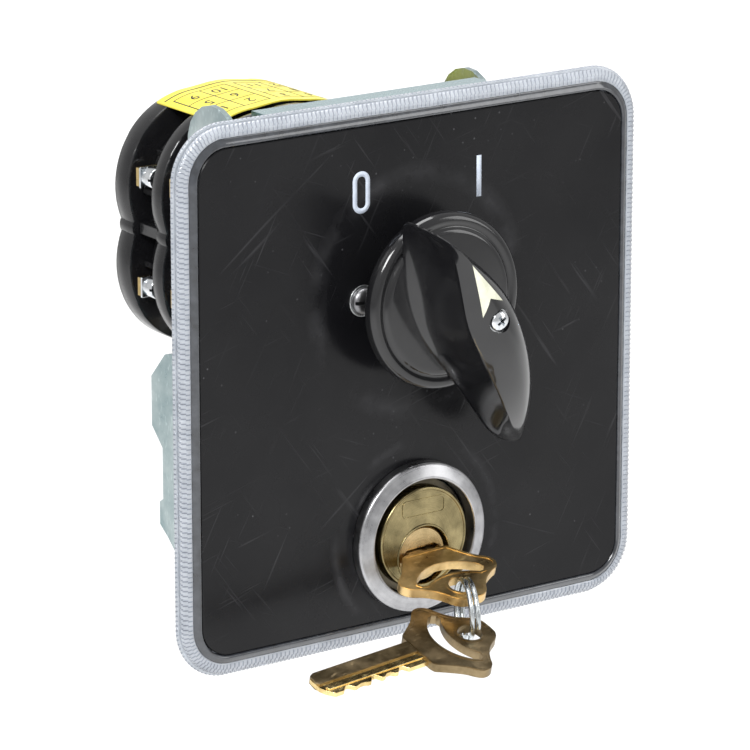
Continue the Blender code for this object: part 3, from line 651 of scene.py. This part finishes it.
# along the pointer, crown, crease, half crease, half base, then base height, underside and belly
SEAT = (11.7, 11.2, 0.0)
KNOB_STATIONS = (
    (23.1, 16.6, 14.4, 0.25, 0.5, *SEAT),
    (22.0, 23.6, 20.4, 0.40, 1.5, *SEAT),
    (20.4, 29.4, 25.4, 0.60, 2.7, *SEAT),
    (18.2, 32.0, 28.0, 1.15, 4.2, *SEAT),
    (14.0, 32.7, 29.0, 2.70, 6.9, *SEAT),
    (8.0, 33.1, 28.9, 4.60, 9.6, *SEAT),
    (2.0, 33.1, 28.2, 6.10, 11.0, *SEAT),
    (-4.0, 32.8, 27.9, 6.40, 11.2, *SEAT),
    (-10.0, 31.6, 27.2, 6.10, 10.2, 11.7, 11.2, 0.05),
    (-16.0, 29.4, 25.8, 5.50, 8.8, 11.4, 10.4, 0.15),
    (-22.0, 26.6, 23.6, 4.80, 7.6, 10.6, 9.4, 0.35),
    (-28.0, 22.9, 20.8, 3.80, 6.5, 10.2, 8.7, 0.65),
    (-33.0, 19.3, 17.8, 2.80, 5.9, 10.2, 8.6, 0.9),
    (-37.0, 16.0, 15.0, 1.70, 4.7, 10.4, 9.1, 1.0),
    (-39.8, 13.4, 12.8, 0.80, 2.9, 10.6, 9.7, 1.0),
    (-41.6, 11.9, 11.5, 0.30, 1.2, 10.9, 10.3, 1.0),
)
CONCAVE = (0.05, 0.24, 0.60)
CONVEX = (0.55, 0.90, 1.04)
CHEEK_HEIGHTS = (0.72, 0.40, 0.13)


def knob_point(along, across, height):
    tilt = radians(REST_TILT)
    x = -along * sin(tilt) + across * cos(tilt)
    return Vector((x, FACE_Y - height, AXIS_Z + along * cos(tilt) + across * sin(tilt)))


def knob_half(crown, crease, half_crease, half_base, base, under, belly):
    drop = crown - crease
    rise = crease - base
    spread = half_base - half_crease
    half = [(0.0, crown), (half_crease * 0.5, crown - drop * 0.30), (half_crease * 0.85, crown - drop * 0.74)]
    half.append((half_crease, crease))
    for concave, convex, height in zip(CONCAVE, CONVEX, CHEEK_HEIGHTS):
        share = concave + (convex - concave) * belly
        half.append((half_crease + spread * share, base + rise * height))
    half += [(half_base, base), (half_base * 0.62, (base + under) / 2 - 0.3), (0.0, under)]
    return half


def build_knob():
    bm = bmesh.new()
    crease = bm.edges.layers.float.new("crease_edge")
    rings = []
    for along, *station in KNOB_STATIONS:
        half = knob_half(*station)
        section = half + [(-across, height) for across, height in reversed(half[1:-1])]
        rings.append([bm.verts.new(knob_point(along, across, height)) for across, height in section])
    for lower, upper in zip(rings, rings[1:]):
        bridge(bm, lower, upper)
    bm.faces.new(rings[0])
    bm.faces.new(rings[-1])
    count = len(rings[0])
    for index in range(2, len(rings) - 2):
        for place in (3, count - 3):
            bm.edges.get((rings[index][place], rings[index + 1][place]))[crease] = 0.8
    for index in range(5):
        bm.edges.get((rings[index][0], rings[index + 1][0]))[crease] = 0.6
    blade = make_piece("knob_handle", bm, KNOB, "handle", "knob", ["knob"], smooth=0.0, levels=3)
    bake_modifiers(blade)
    build_arrow(blade.data)
    recess = [(0.0, -44.0), (2.75, -44.0), (2.75, FACE_Y - 30.7), (0.0, FACE_Y - 30.7)]
    recess = turned(recess, SHAFT, 40)
    cut(blade, recess, "screw_recess")
    blade.data.set_sharp_from_angle(angle=radians(38))
    profile = [
        (0.0, 12.4), (15.6, 12.4), (16.3, 12.35), (16.8, 12.1), (17.0, 11.8), (17.3, 11.65), (17.8, 11.65),
        (18.05, 11.85), (18.5, 11.95), (19.3, 11.85), (19.9, 11.5), (20.3, 10.9), (20.5, 10.2), (20.5, 8.9),
        (20.3, 8.55), (19.9, 8.4), (9.0, 8.4), (8.6, 8.2), (8.5, 7.9), (8.5, 0.6), (0.0, 0.6),
    ]
    disc = raised(profile, SHAFT, 128, False)
    make_piece("knob_disc", disc, KNOB, "handle", "knob", smooth=60.0)
    head = screw_head(2.3, FACE_Y - 32.6, FACE_Y - 30.75, SHAFT, 0.9)
    head = make_piece("knob_screw_head", head, BRIGHT, "handle", "knob_screw", ["knob_screw"])
    for shell in cross_cutter(SHAFT, FACE_Y - 32.9, FACE_Y - 31.3, 1.45, 0.34):
        cut(head, shell, "cross")
    profile = [(2.4, 30.8), (2.7, 30.8), (2.7, 31.05), (2.4, 31.05)]
    collar = raised(profile, SHAFT, 40)
    make_piece("knob_screw_washer", collar, STEEL, "handle", "knob_screw")


def build_arrow(leaf):
    """An inlay that follows the crown of the leaf, found by looking along Y."""
    tree = BVHTree.FromPolygons([v.co for v in leaf.vertices], [p.vertices[:] for p in leaf.polygons])
    bm = bmesh.new()
    grids = []
    for lift in (0.09, -0.9):
        rows = []
        for k in range(9):
            part = k / 8
            row = []
            for share in (-1.0, -0.67, -0.33, 0.0, 0.33, 0.67, 1.0):
                point = knob_point(16.0 - part * (9.3 + 3.4 * abs(share)), 3.1 * part * share, 60.0)
                hit = tree.ray_cast(point * MM, Vector((0.0, 1.0, 0.0)))[0] / MM
                row.append(bm.verts.new((hit.x, hit.y - lift, hit.z)) if k or not row else row[0])
            rows.append(row)
        for first, second in zip(rows, rows[1:]):
            for i in range(len(first) - 1):
                bm.faces.new(list(dict.fromkeys((first[i], first[i + 1], second[i + 1], second[i]))))
        grids.append([row[0] for row in rows] + rows[-1][1:-1] + [row[-1] for row in reversed(rows[1:])])
    bridge(bm, grids[0], grids[1])
    make_piece("knob_arrow_inlay", bm, IVORY, "handle", "knob_arrow", ["knob_arrow"], smooth=30.0)


# ---- lock

def tilted(points, centre):
    """Points (across, up) in the keyway's own directions, as (x, z)."""
    spin = Matrix.Rotation(radians(KEY_TILT), 2)
    turned_points = [spin @ Vector(p) for p in points]
    return [(centre[0] + p.x, centre[1] + p.y) for p in turned_points]


def build_lock():
    ring = [
        (17.55, 0.0), (17.75, 0.2), (17.75, 2.1), (17.7, 2.45), (17.5, 2.75), (17.1, 2.95), (15.2, 3.52),
        (14.8, 3.66), (14.5, 3.76), (14.25, 3.74), (14.1, 3.6), (14.0, 3.3), (13.95, 0.0),
    ]
    ring = raised(ring, LOCK, 128)
    fixed_piece("lock_ring_turned", ring, RING_STEEL, "lock_ring", ["lock_ring"], smooth=50.0)
    front = FACE_Y - 3.05
    bore = circle(PLUG, PLUG_RADIUS + 0.25, 64)
    plate = prism(circle(LOCK, 11.8, 96), front, 24.0, [bore])
    rim = [(11.2, 2.9), (11.3, 3.1), (11.55, 3.25), (11.8, 3.24), (12.0, 3.1), (12.1, 2.8), (12.1, -27.0)]
    rim.append((11.4, -27.0))
    shells = join(plate, raised(rim, LOCK, 96))
    barrel = raised([(12.15, 0.2), (13.5, 0.0), (13.5, -27.4), (12.15, -27.4)], LOCK, 96)
    # The barrel's near-black finish is painted shade at the bottom of the gap inside the ring.
    fixed_piece("lock_cylinder_barrel", barrel, RECESS_SHADE_BARREL, "lock_cylinder", smooth=40.0)
    fixed_piece("lock_cylinder_face", shells, LOCK_BRASS, "lock_cylinder", ["lock_cylinder"], smooth=40.0)
    cartouche = rounded_rectangle((0.0, LOCK_Z + 7.4), 6.0, 2.1, 1.2, 8)
    inner = rounded_rectangle((0.0, LOCK_Z + 7.4), 5.6, 1.7, 0.9, 8)
    frame_line = prism(cartouche, front - 0.16, front + 0.2, [inner])
    fixed_piece("lock_cartouche", frame_line, LOCK_BRASS, "lock_cylinder", bevel=0.05)
    collar = [(6.85, 0.05), (7.0, 0.25), (7.3, 0.25), (7.45, 0.05), (7.45, -0.3), (6.85, -0.3)]
    collar = raised(collar, PLUG, 64, base=front)
    fixed_piece("lock_plug_collar", collar, LOCK_BRASS, "lock_cylinder", smooth=50.0)
    slot = tilted(((-4.45, -1.35), (4.45, -1.35), (4.45, 1.35), (-4.45, 1.35)), PLUG)
    face = FACE_Y - 2.3
    outer = circle(PLUG, PLUG_RADIUS, 64)
    layers = [(face, circle(PLUG, PLUG_RADIUS - 0.4, 64)), (face + 0.4, outer), (24.4, outer)]
    plug = layered(layers, [slot])
    plug = make_piece("lock_plug_turned", plug, PLUG_BRASS, "plug", "lock_plug", ["lock_plug"], smooth=40.0)
    dish = rounded_rectangle((0.0, 0.0), 5.2, 2.3, 2.2, 8)
    small = rounded_rectangle((0.0, 0.0), 4.6, 1.6, 1.5, 8)
    dish = layered([(face - 0.5, tilted(dish, PLUG)), (face + 0.9, tilted(small, PLUG))])
    cut(plug, dish, "keyway_dish")


# ---- keys and ring

KEY_HALF = 1.0
BLADE_LENGTH = 28.0
BLADE_HALF = 4.1
HOLE_ALONG = 15.0
HOLE_RADIUS = 2.9
SPARE_HOLE = Vector((-4.0, -29.8, -55.9))
SPARE_ALONG = Vector((0.997, 0.037, 0.073))
SPARE_ACROSS = Vector((0.057, -0.956, -0.287))
RING_CENTRE = Vector((-2.0, -25.8, -51.2))
RING_NORMAL = Vector((-0.91, 0.4, -0.02)).normalized()
RING_RADIUS = 7.0
WIRE_RADIUS = 0.6


def rounded(points, rounds=2):
    """An open line with its corners cut, ends kept."""
    for _ in range(rounds):
        smoother = [points[0]]
        for (x1, z1), (x2, z2) in zip(points, points[1:]):
            for near, far in ((0.75, 0.25), (0.25, 0.75)):
                smoother.append((near * x1 + far * x2, near * z1 + far * z2))
        points = smoother + [points[-1]]
    return points


def bow_outline():
    half = rounded([
        (0.0, 5.0), (0.3, 6.3), (1.8, 7.2), (6.0, 10.2), (7.4, 12.2), (8.8, 13.4), (10.6, 13.3), (12.2, 12.1),
        (13.0, 10.2), (14.5, 7.8), (16.6, 5.8), (19.2, 4.4), (20.5, 2.6), (20.6, 0.7),
    ])
    return half + [(along, -across) for along, across in reversed(half)]


def blade_outline():
    points = [(-BLADE_LENGTH, 0.9), (-BLADE_LENGTH + 0.7, 2.4), (-BLADE_LENGTH + 2.2, BLADE_HALF)]
    for index, depth in enumerate((1.2, 0.4, 1.6, 0.8, 1.4)):
        along = -BLADE_LENGTH + 4.5 + index * 3.8
        floor = BLADE_HALF - depth
        points += [(along, BLADE_HALF), (along + 1.2, floor), (along + 2.0, floor), (along + 3.0, BLADE_HALF)]
    points += [(0.3, BLADE_HALF), (0.3, -BLADE_HALF), (-BLADE_LENGTH + 1.4, -BLADE_HALF)]
    return points + [(-BLADE_LENGTH + 0.2, -3.0), (-BLADE_LENGTH, -2.2)]


def crescent():
    outer = arc((17.7, 0.0), 11.9, 131.6, 228.4, 20)
    inner = arc((23.5, 0.0), 13.5, 213.2, 146.8, 20)
    ends = [[(11.0, side * 9.3), (12.0, side * 8.7)] for side in (-1, 1)]
    return outer + ends[0] + inner + ends[1][::-1]


def raised_border(outer, inner, side):
    low, high = sorted((side * (KEY_HALF - 0.1), side * (KEY_HALF + 0.14)))
    return prism(outer, low, high, [inner])


def build_key(name, matrix, droop, bow_material, blade_material, body):
    outline = bow_outline()
    centre = (HOLE_ALONG, 0.0)
    shells = [prism(outline, -KEY_HALF, KEY_HALF, [circle(centre, HOLE_RADIUS, 32), crescent()])]
    for side in (-1, 1):
        shells.append(raised_border(offset(outline, 0.15), offset(outline, 0.85), side))
        outer = circle(centre, HOLE_RADIUS + 0.75, 32)
        shells.append(raised_border(outer, circle(centre, HOLE_RADIUS + 0.1, 32), side))
        shells.append(raised_border(offset(crescent(), -0.6), offset(crescent(), -0.08), side))
    whole = join(*shells)
    bent = matrix @ Matrix.Rotation(radians(droop), 4, "Z")
    bmesh.ops.transform(whole, matrix=bent, verts=whole.verts)
    make_piece(name + "_bow", whole, bow_material, body, name, [name], bevel=0.12, smooth=30.0)
    core = prism(blade_outline(), -KEY_HALF * 0.55, KEY_HALF * 0.55)
    edge = 0.05 - BLADE_HALF
    tip = -BLADE_LENGTH
    back = [(tip + 0.4, -3.4), (tip + 1.6, edge), (0.3, edge), (0.3, 0.1), (tip + 0.6, 0.1)]
    back = prism(back + [(tip + 0.1, -0.8)], -KEY_HALF, KEY_HALF)
    rib = [(tip + 1.1, 1.5), (0.3, 1.5), (0.3, 2.5), (tip + 1.6, 2.5)]
    cuts = join(core, prism(rib, -KEY_HALF * 0.82, KEY_HALF * 0.82))
    for part, word, material in ((back, "_blade_back", bow_material), (cuts, "_blade_cuts", blade_material)):
        bmesh.ops.transform(part, matrix=matrix, verts=part.verts)
        make_piece(name + word, part, material, body, name, bevel=0.10, smooth=30.0)


def key_frame(origin, along, across):
    """Matrix from key space (x along, y through the sheet, z across) to the object."""
    along = along.normalized()
    across = (across - across.dot(along) * along).normalized()
    rotation = Matrix((along, across.cross(along), across)).transposed().to_4x4()
    return Matrix.Translation(origin) @ rotation


def build_keys():
    tilt = radians(KEY_TILT)
    shoulder = Vector((0.0, FACE_Y - 2.8, PLUG_Z))
    first = key_frame(shoulder, Vector((0.0, -1.0, 0.0)), Vector((cos(tilt), 0.0, sin(tilt))))
    second = key_frame(Vector(), SPARE_ALONG, SPARE_ACROSS)
    hole = Vector((HOLE_ALONG, 0.0, 0.0))
    second = Matrix.Translation(SPARE_HOLE - second @ hole) @ second
    build_key("key_in_lock", first, KEY_DROOP, KEY_GOLD, KEY_GOLD, "key")
    build_key("spare_key", second, 0.0, KEY_DARK, KEY_WORN, "spare")
    down = SPARE_HOLE - first @ Matrix.Rotation(radians(KEY_DROOP), 4, "Z") @ hole
    down = (down - down.dot(RING_NORMAL) * RING_NORMAL).normalized()
    forward = RING_NORMAL.cross(down)
    steps = 72
    last = steps * 2 - 4
    points = []
    for step in range(last + 1):
        angle = radians(20.0) + 2 * pi * step / steps
        shift = (step / last - 0.5) * (WIRE_RADIUS * 2 + 0.12) * 2
        spoke = RING_RADIUS * (cos(angle) * down + sin(angle) * forward)
        points.append(RING_CENTRE + spoke + shift * RING_NORMAL)
    wire = tube_along(points, WIRE_RADIUS, 14)
    make_piece("split_ring_wire", wire, WIRE, "ring", "split_ring", ["split_ring"], smooth=60.0)


# ---- switch body

LOBE_X = 7.4
LOBE_Z = 9.4
LOBE_RADIUS = 21.2
CROWN = 0.8
BUMP_X = 24.2
BUMP_RADIUS = 3.2
CORE_INSET = 6.5
BEARING_BLOCK_Y = (33.0, 44.6)
BLOCK_STARTS = (44.9, 59.4)
BLOCK_LENGTH = 14.2
RIM_LENGTH = 4.4
END_COVER_Y = (73.9, 80.0)
TERMINAL_LEVEL = 13.3
ROD_X = 6.5
ROD_Z = 20.3
ROD_RADIUS = 1.5


def body_outline(inset=0.0):
    """The lobed outline of the switch body, symmetric in X and about BODY_Z."""
    gap_x = BUMP_X - LOBE_X
    distance = math.hypot(gap_x, LOBE_Z)
    along = (LOBE_RADIUS ** 2 - BUMP_RADIUS ** 2 + distance ** 2) / (2 * distance)
    height = math.sqrt(LOBE_RADIUS ** 2 - along ** 2)
    meet_x = LOBE_X + (along * gap_x + height * LOBE_Z) / distance
    meet_z = LOBE_Z + (height * gap_x - along * LOBE_Z) / distance
    on_lobe = math.degrees(math.atan2(meet_z - LOBE_Z, meet_x - LOBE_X))
    on_bump = math.degrees(math.atan2(meet_z, meet_x - BUMP_X))
    quarter = arc((BUMP_X, 0.0), BUMP_RADIUS - inset * 0.3, 0.0, on_bump, 6)[:-1]
    quarter += arc((LOBE_X, LOBE_Z), LOBE_RADIUS - inset, on_lobe, 88.0, 28)
    crown = LOBE_Z + LOBE_RADIUS + CROWN - inset
    quarter += [(LOBE_X * 0.66, crown - 0.42), (LOBE_X * 0.33, crown - 0.12), (0.0, crown)]
    quarter = [(x - inset * 0.75 if x > BUMP_X else x, z) for x, z in quarter]
    top = quarter + [(-x, z) for x, z in reversed(quarter[:-1])]
    outline = top + [(x, -z) for x, z in reversed(top[1:-1])]
    return [(x, z + BODY_Z) for x, z in outline]


def rod_holes(radius):
    return [circle((side * ROD_X, BODY_Z - side * ROD_Z), radius, 16) for side in (-1, 1)]


def soft_rim(start, end, edge=0.7):
    """Layers of a moulded rim with rounded edges."""
    full, soft, inner = body_outline(), body_outline(edge * 0.3), body_outline(edge)
    return [
        (start, inner), (start + edge * 0.3, soft), (start + edge, full),
        (end - edge, full), (end - edge * 0.3, soft), (end, inner),
    ]


def build_switch_body():
    holes = rod_holes(ROD_RADIUS + 0.3)
    bearing = circle(SHAFT, 3.9, 32)
    front = layered(soft_rim(*BEARING_BLOCK_Y), holes + [bearing])
    name = "bearing_block"
    fixed_piece(name + "_shell", front, BAKELITE, name, [name], smooth=40.0)
    cavity = rounded_rectangle((0.0, BODY_Z), 17.0, 16.4, 2.0)
    for start, word in zip(BLOCK_STARTS, ("front", "rear")):
        rim_end = start + RIM_LENGTH
        layers = soft_rim(start, rim_end, 0.6)
        layers += [(rim_end, body_outline(CORE_INSET)), (start + BLOCK_LENGTH, body_outline(CORE_INSET))]
        name = "contact_block_" + word
        block = layered(layers, holes + [cavity])
        block = fixed_piece(name + "_shell", block, BAKELITE, name, [name], smooth=40.0)
        for level in (-1, 1):
            z = BODY_Z + level * TERMINAL_LEVEL
            cut(block, box((-40.0, 40.0), (start + 5.2, start + 12.0), (z - 2.6, z + 2.6)), "terminal_slot")
        build_barriers(name, start)
    name = "end_cover"
    end = layered(soft_rim(*END_COVER_Y), holes + [bearing])
    fixed_piece(name + "_shell", end, BAKELITE, name, [name], smooth=40.0)
    build_rear_details()


def build_barriers(name, start):
    """Fins between the terminals and ribs along the recess of one block."""
    shells = []
    low = start + RIM_LENGTH - 0.2
    high = start + BLOCK_LENGTH - 0.05
    for side in (-1, 1):
        shells.append(box(sorted((side * 21.0, side * 25.6)), (low, high), (BODY_Z - 1.4, BODY_Z + 1.4)))
        for level in (-1, 1):
            for step in (-4.4, 4.4):
                z = BODY_Z + level * TERMINAL_LEVEL + step
                reach = 24.4 if step * level < 0 else 20.6
                shells.append(box(sorted((side * 16.0, side * reach)), (low, high), (z - 0.7, z + 0.7)))
    for x in (-9.0, 0.0, 9.0):
        for level in (-1, 1):
            z = sorted((BODY_Z + level * 22.0, BODY_Z + level * 27.6))
            shells.append(box((x - 0.8, x + 0.8), (low, high), z))
    fixed_piece(name + "_fins", join(*shells), BAKELITE, name, bevel=0.25)


def build_rear_details():
    """Raised bearing boss, recessed nut seats and moulded ribs on the rear face."""
    rear = END_COVER_REAR
    boss = [(4.0, 0.3), (7.6, 0.3), (7.5, -0.5), (7.2, -0.8), (5.0, -0.8), (4.7, -0.5), (4.0, -0.4)]
    seat = [(3.9, 0.3), (4.9, 0.3), (4.8, -0.5), (4.6, -0.6), (4.1, -0.6), (3.9, -0.4)]
    shells = [raised(boss, SHAFT, 64, base=rear)]
    for side in (-1, 1):
        shells.append(raised(seat, (side * ROD_X, BODY_Z - side * ROD_Z), 40, base=rear))
    for turn in range(8):
        angle = radians(22.5 + 45.0 * turn)
        along = Vector((cos(angle), sin(angle)))
        across = Vector((-along.y, along.x))
        corners = []
        for reach, half in ((8.2, -0.5), (14.5, -0.5), (14.5, 0.5), (8.2, 0.5)):
            p = along * reach + across * half
            corners.append((p.x, AXIS_Z + p.y))
        shells.append(prism(corners, rear - 0.3, rear + 0.45))
    fixed_piece("end_cover_boss", join(*shells), BAKELITE, "end_cover", bevel=0.12, smooth=40.0)


def build_terminals():
    number = 0
    for start in BLOCK_STARTS:
        y = start + 8.3
        for level in (1, -1):
            for side in (-1, 1):
                number += 1
                z = BODY_Z + level * TERMINAL_LEVEL
                x = side * 25.2
                screw = screw_head(2.5, y - 2.4, y + 1.9, (x, z), 0.5)
                slot_name = f"terminal_screw_{number}"
                head = fixed_piece(f"clamp_screw_{number}", screw, BRIGHT, slot_name, [slot_name])
                cut(head, box((x - 3.0, x + 3.0), (y - 3.0, y - 1.5), (z - 0.3, z + 0.3)), "slot")
                plate = box(sorted((side * 22.4, side * 28.0)), (y + 1.3, y + 2.0), (z - 2.5, z + 2.5))
                fixed_piece(f"clamp_plate_{number}", plate, BRIGHT, slot_name, bevel=0.2)


# ---- label

LABEL_Y = (51.0, 78.4)
LABEL_HALF = 17.2


def label_surface(x, lift):
    """Height of the label's face over x, and lift above it."""
    outline = body_outline(0.0)
    best = None
    for first, second in zip(outline, outline[1:]):
        on_top = min(first[1], second[1]) > BODY_Z + 5.0
        if on_top and min(first[0], second[0]) <= x <= max(first[0], second[0]):
            span = second[0] - first[0]
            part = 0.5 if abs(span) < 1e-6 else (x - first[0]) / span
            best = first[1] + (second[1] - first[1]) * part
    return best + lift


def label_strip(x_range, y_range, low, high, steps):
    """A patch of the bent label between two heights above the body."""
    xs = [x_range[0] + (x_range[1] - x_range[0]) * i / steps for i in range(steps + 1)]
    outline = [(x, label_surface(x, high)) for x in xs] + [(x, label_surface(x, low)) for x in reversed(xs)]
    return prism(outline, *y_range)


def build_label():
    film = label_strip((-LABEL_HALF, LABEL_HALF), LABEL_Y, 0.06, 0.42, 40)
    fixed_piece("label_film", film, LABEL, "rating_label", ["rating_label"], smooth=40.0)
    lines = []
    top = 0.455
    column_edges = (-15.6, -8.4, -1.2, 1.2, 8.4, 15.6)
    row_edges = (54.0, 60.5, 67.0, 73.5)
    for x in column_edges:
        lines.append(label_strip((x - 0.14, x + 0.14), (row_edges[0], row_edges[-1]), 0.35, top, 2))
    for y in row_edges:
        for left, right in ((-15.6, -1.2), (1.2, 15.6)):
            lines.append(label_strip((left, right), (y - 0.14, y + 0.14), 0.35, top, 16))
    lines.append(label_strip((-16.6, 16.6), (75.6, 76.1), 0.35, top, 32))
    fixed_piece("label_lines", join(*lines), INK, "rating_label", smooth=0.0)
    digit = 0
    for y in (57.2, 63.7, 70.2):
        for x in (-12.0, -4.8, 4.8, 12.0):
            digit += 1
            add_digit(str(digit), x, y, digit)


def add_digit(text, x, y, index):
    """A terminal number printed on the label, bent to its curve."""
    curve = bpy.data.curves.new("digit", "FONT")
    curve.body = text
    curve.size = 4.4 * MM
    curve.align_x = "CENTER"
    curve.align_y = "CENTER"
    curve.extrude = 0.0
    curve.resolution_u = 3
    holder = add_object("digit", curve)
    bpy.context.view_layer.update()
    flat = evaluated_mesh(holder)
    bpy.data.objects.remove(holder)
    bpy.data.curves.remove(curve)
    bm = bmesh.new()
    bm.from_mesh(flat)
    bpy.data.meshes.remove(flat)
    bmesh.ops.dissolve_limit(bm, angle_limit=radians(1), verts=bm.verts, edges=bm.edges)
    bmesh.ops.triangulate(bm, faces=bm.faces)
    faces = bm.faces[:]
    grown = bmesh.ops.extrude_face_region(bm, geom=faces)
    new = {v for v in grown["geom"] if isinstance(v, bmesh.types.BMVert)}
    for vert in bm.verts:
        px = x - vert.co.x / MM
        py = y - vert.co.y / MM
        vert.co = Vector((px, py, label_surface(px, 0.46 if vert in new else 0.36)))
    fixed_piece(f"label_digit_{index}", bm, INK, "rating_label", smooth=0.0)


# ---- carried-over nodes

KEPT = {
    "mounting_frame": (ZINC, 0.25), "side_plate_left": (SIDE_ZINC, 0.3), "side_plate_right": (SIDE_ZINC, 0.3),
    "bolt_guide": (ZINC, 0.3), "lock_nut": (ZINC, 0.3), "detent_housing": (BAKELITE, 0.4),
    "tie_rod_upper": (STEEL, 0.15), "tie_rod_lower": (STEEL, 0.15), "shaft": (STEEL, 0.3),
    "detent_spring_left": (STEEL, 0.1), "detent_spring_right": (STEEL, 0.1),
    "cam_front": (NYLON, 0.2), "cam_rear": (NYLON, 0.2), "detent_wheel": (STEEL, 0.15),
    "lock_disc": (ZINC, 0.2), "locking_bolt": (STEEL, 0.3), "lock_cam": (ZINC, 0.25),
}


def dress_kept_nodes():
    for number in range(1, 9):
        KEPT[f"terminal_{number}"] = (CONTACT, 0.15)
    for number in range(1, 5):
        KEPT[f"contact_bridge_{number}"] = (CONTACT, 0.15)
        KEPT[f"bridge_spring_{number}"] = (STEEL, 0.0)
    for name, (material, bevel) in KEPT.items():
        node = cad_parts[name]
        for place in node.material_slots:
            place.material = material
        if bevel:
            add_bevel(node, bevel, 2, 40.0)


# ---- studio

CAMERA_AZIMUTH = -35.08
CAMERA_ELEVATION = 15.84
CAMERA_PLACE = (-0.5914, -0.8291, 0.2869)
FLOOR_Z = -0.30


def camera_axes(azimuth, elevation):
    az, el = radians(azimuth), radians(elevation)
    back = Vector((sin(az) * cos(el), -cos(az) * cos(el), sin(el)))
    right = Vector((cos(az), sin(az), 0.0))
    return right, back.cross(right), back


def add_camera():
    data = bpy.data.cameras.new("camera")
    data.lens = 222.35
    data.sensor_width = 36.0
    data.clip_end = 100.0
    camera = add_object("camera", data)
    rotation = Matrix(camera_axes(CAMERA_AZIMUTH, CAMERA_ELEVATION)).transposed().to_4x4()
    camera.matrix_world = Matrix.Translation(CAMERA_PLACE) @ rotation
    bpy.context.scene.camera = camera


def add_area(name, place, size, energy, target=(0.0, 0.0, 0.0)):
    data = bpy.data.lights.new(name, "AREA")
    data.shape = "RECTANGLE"
    data.size, data.size_y = size
    data.energy = energy
    light = add_object(name, data)
    aim = (Vector(target) - Vector(place)).to_track_quat("-Z", "Y")
    light.matrix_world = Matrix.Translation(place) @ aim.to_matrix().to_4x4()


def build_studio():
    add_camera()
    floor_bm = bmesh.new()
    bmesh.ops.create_grid(floor_bm, x_segments=8, y_segments=8, size=6.0)
    mesh = bpy.data.meshes.new("floor")
    floor_bm.to_mesh(mesh)
    floor_bm.free()
    finish = Finish("floor_pale", (0.9, 0.9, 0.9), 0.9)
    finish.colour(finish.ramp(finish.noise(0.6), [(0.2, (0.90, 0.90, 0.90)), (0.8, (0.93, 0.93, 0.93))]))
    mesh.materials.append(finish.material)
    floor = add_object("floor", mesh)
    floor.location.z = FLOOR_Z
    world = bpy.data.worlds.new("studio")
    world.use_nodes = True
    background = world.node_tree.nodes["Background"]
    background.inputs["Color"].default_value = (1.0, 1.0, 1.0, 1.0)
    background.inputs["Strength"].default_value = 0.62
    bpy.context.scene.world = world
    bpy.context.scene.view_settings.view_transform = "Standard"
    add_area("key", (-0.9, -0.7, 0.9), (0.5, 0.5), 16.0)
    add_area("fill", (0.9, -0.9, 0.4), (0.4, 0.8), 3.0)
    add_area("top", (0.0, 0.1, 1.1), (0.8, 0.6), 9.0)
    add_area("back", (1.3, 1.95, 0.35), (2.0, 2.0), 14.0, (1.3, 1.95, -0.3))


build_studio()
build_front_plate()
build_panel_screws()
build_knob()
build_lock()
build_keys()
build_switch_body()
build_terminals()
build_label()
dress_kept_nodes()
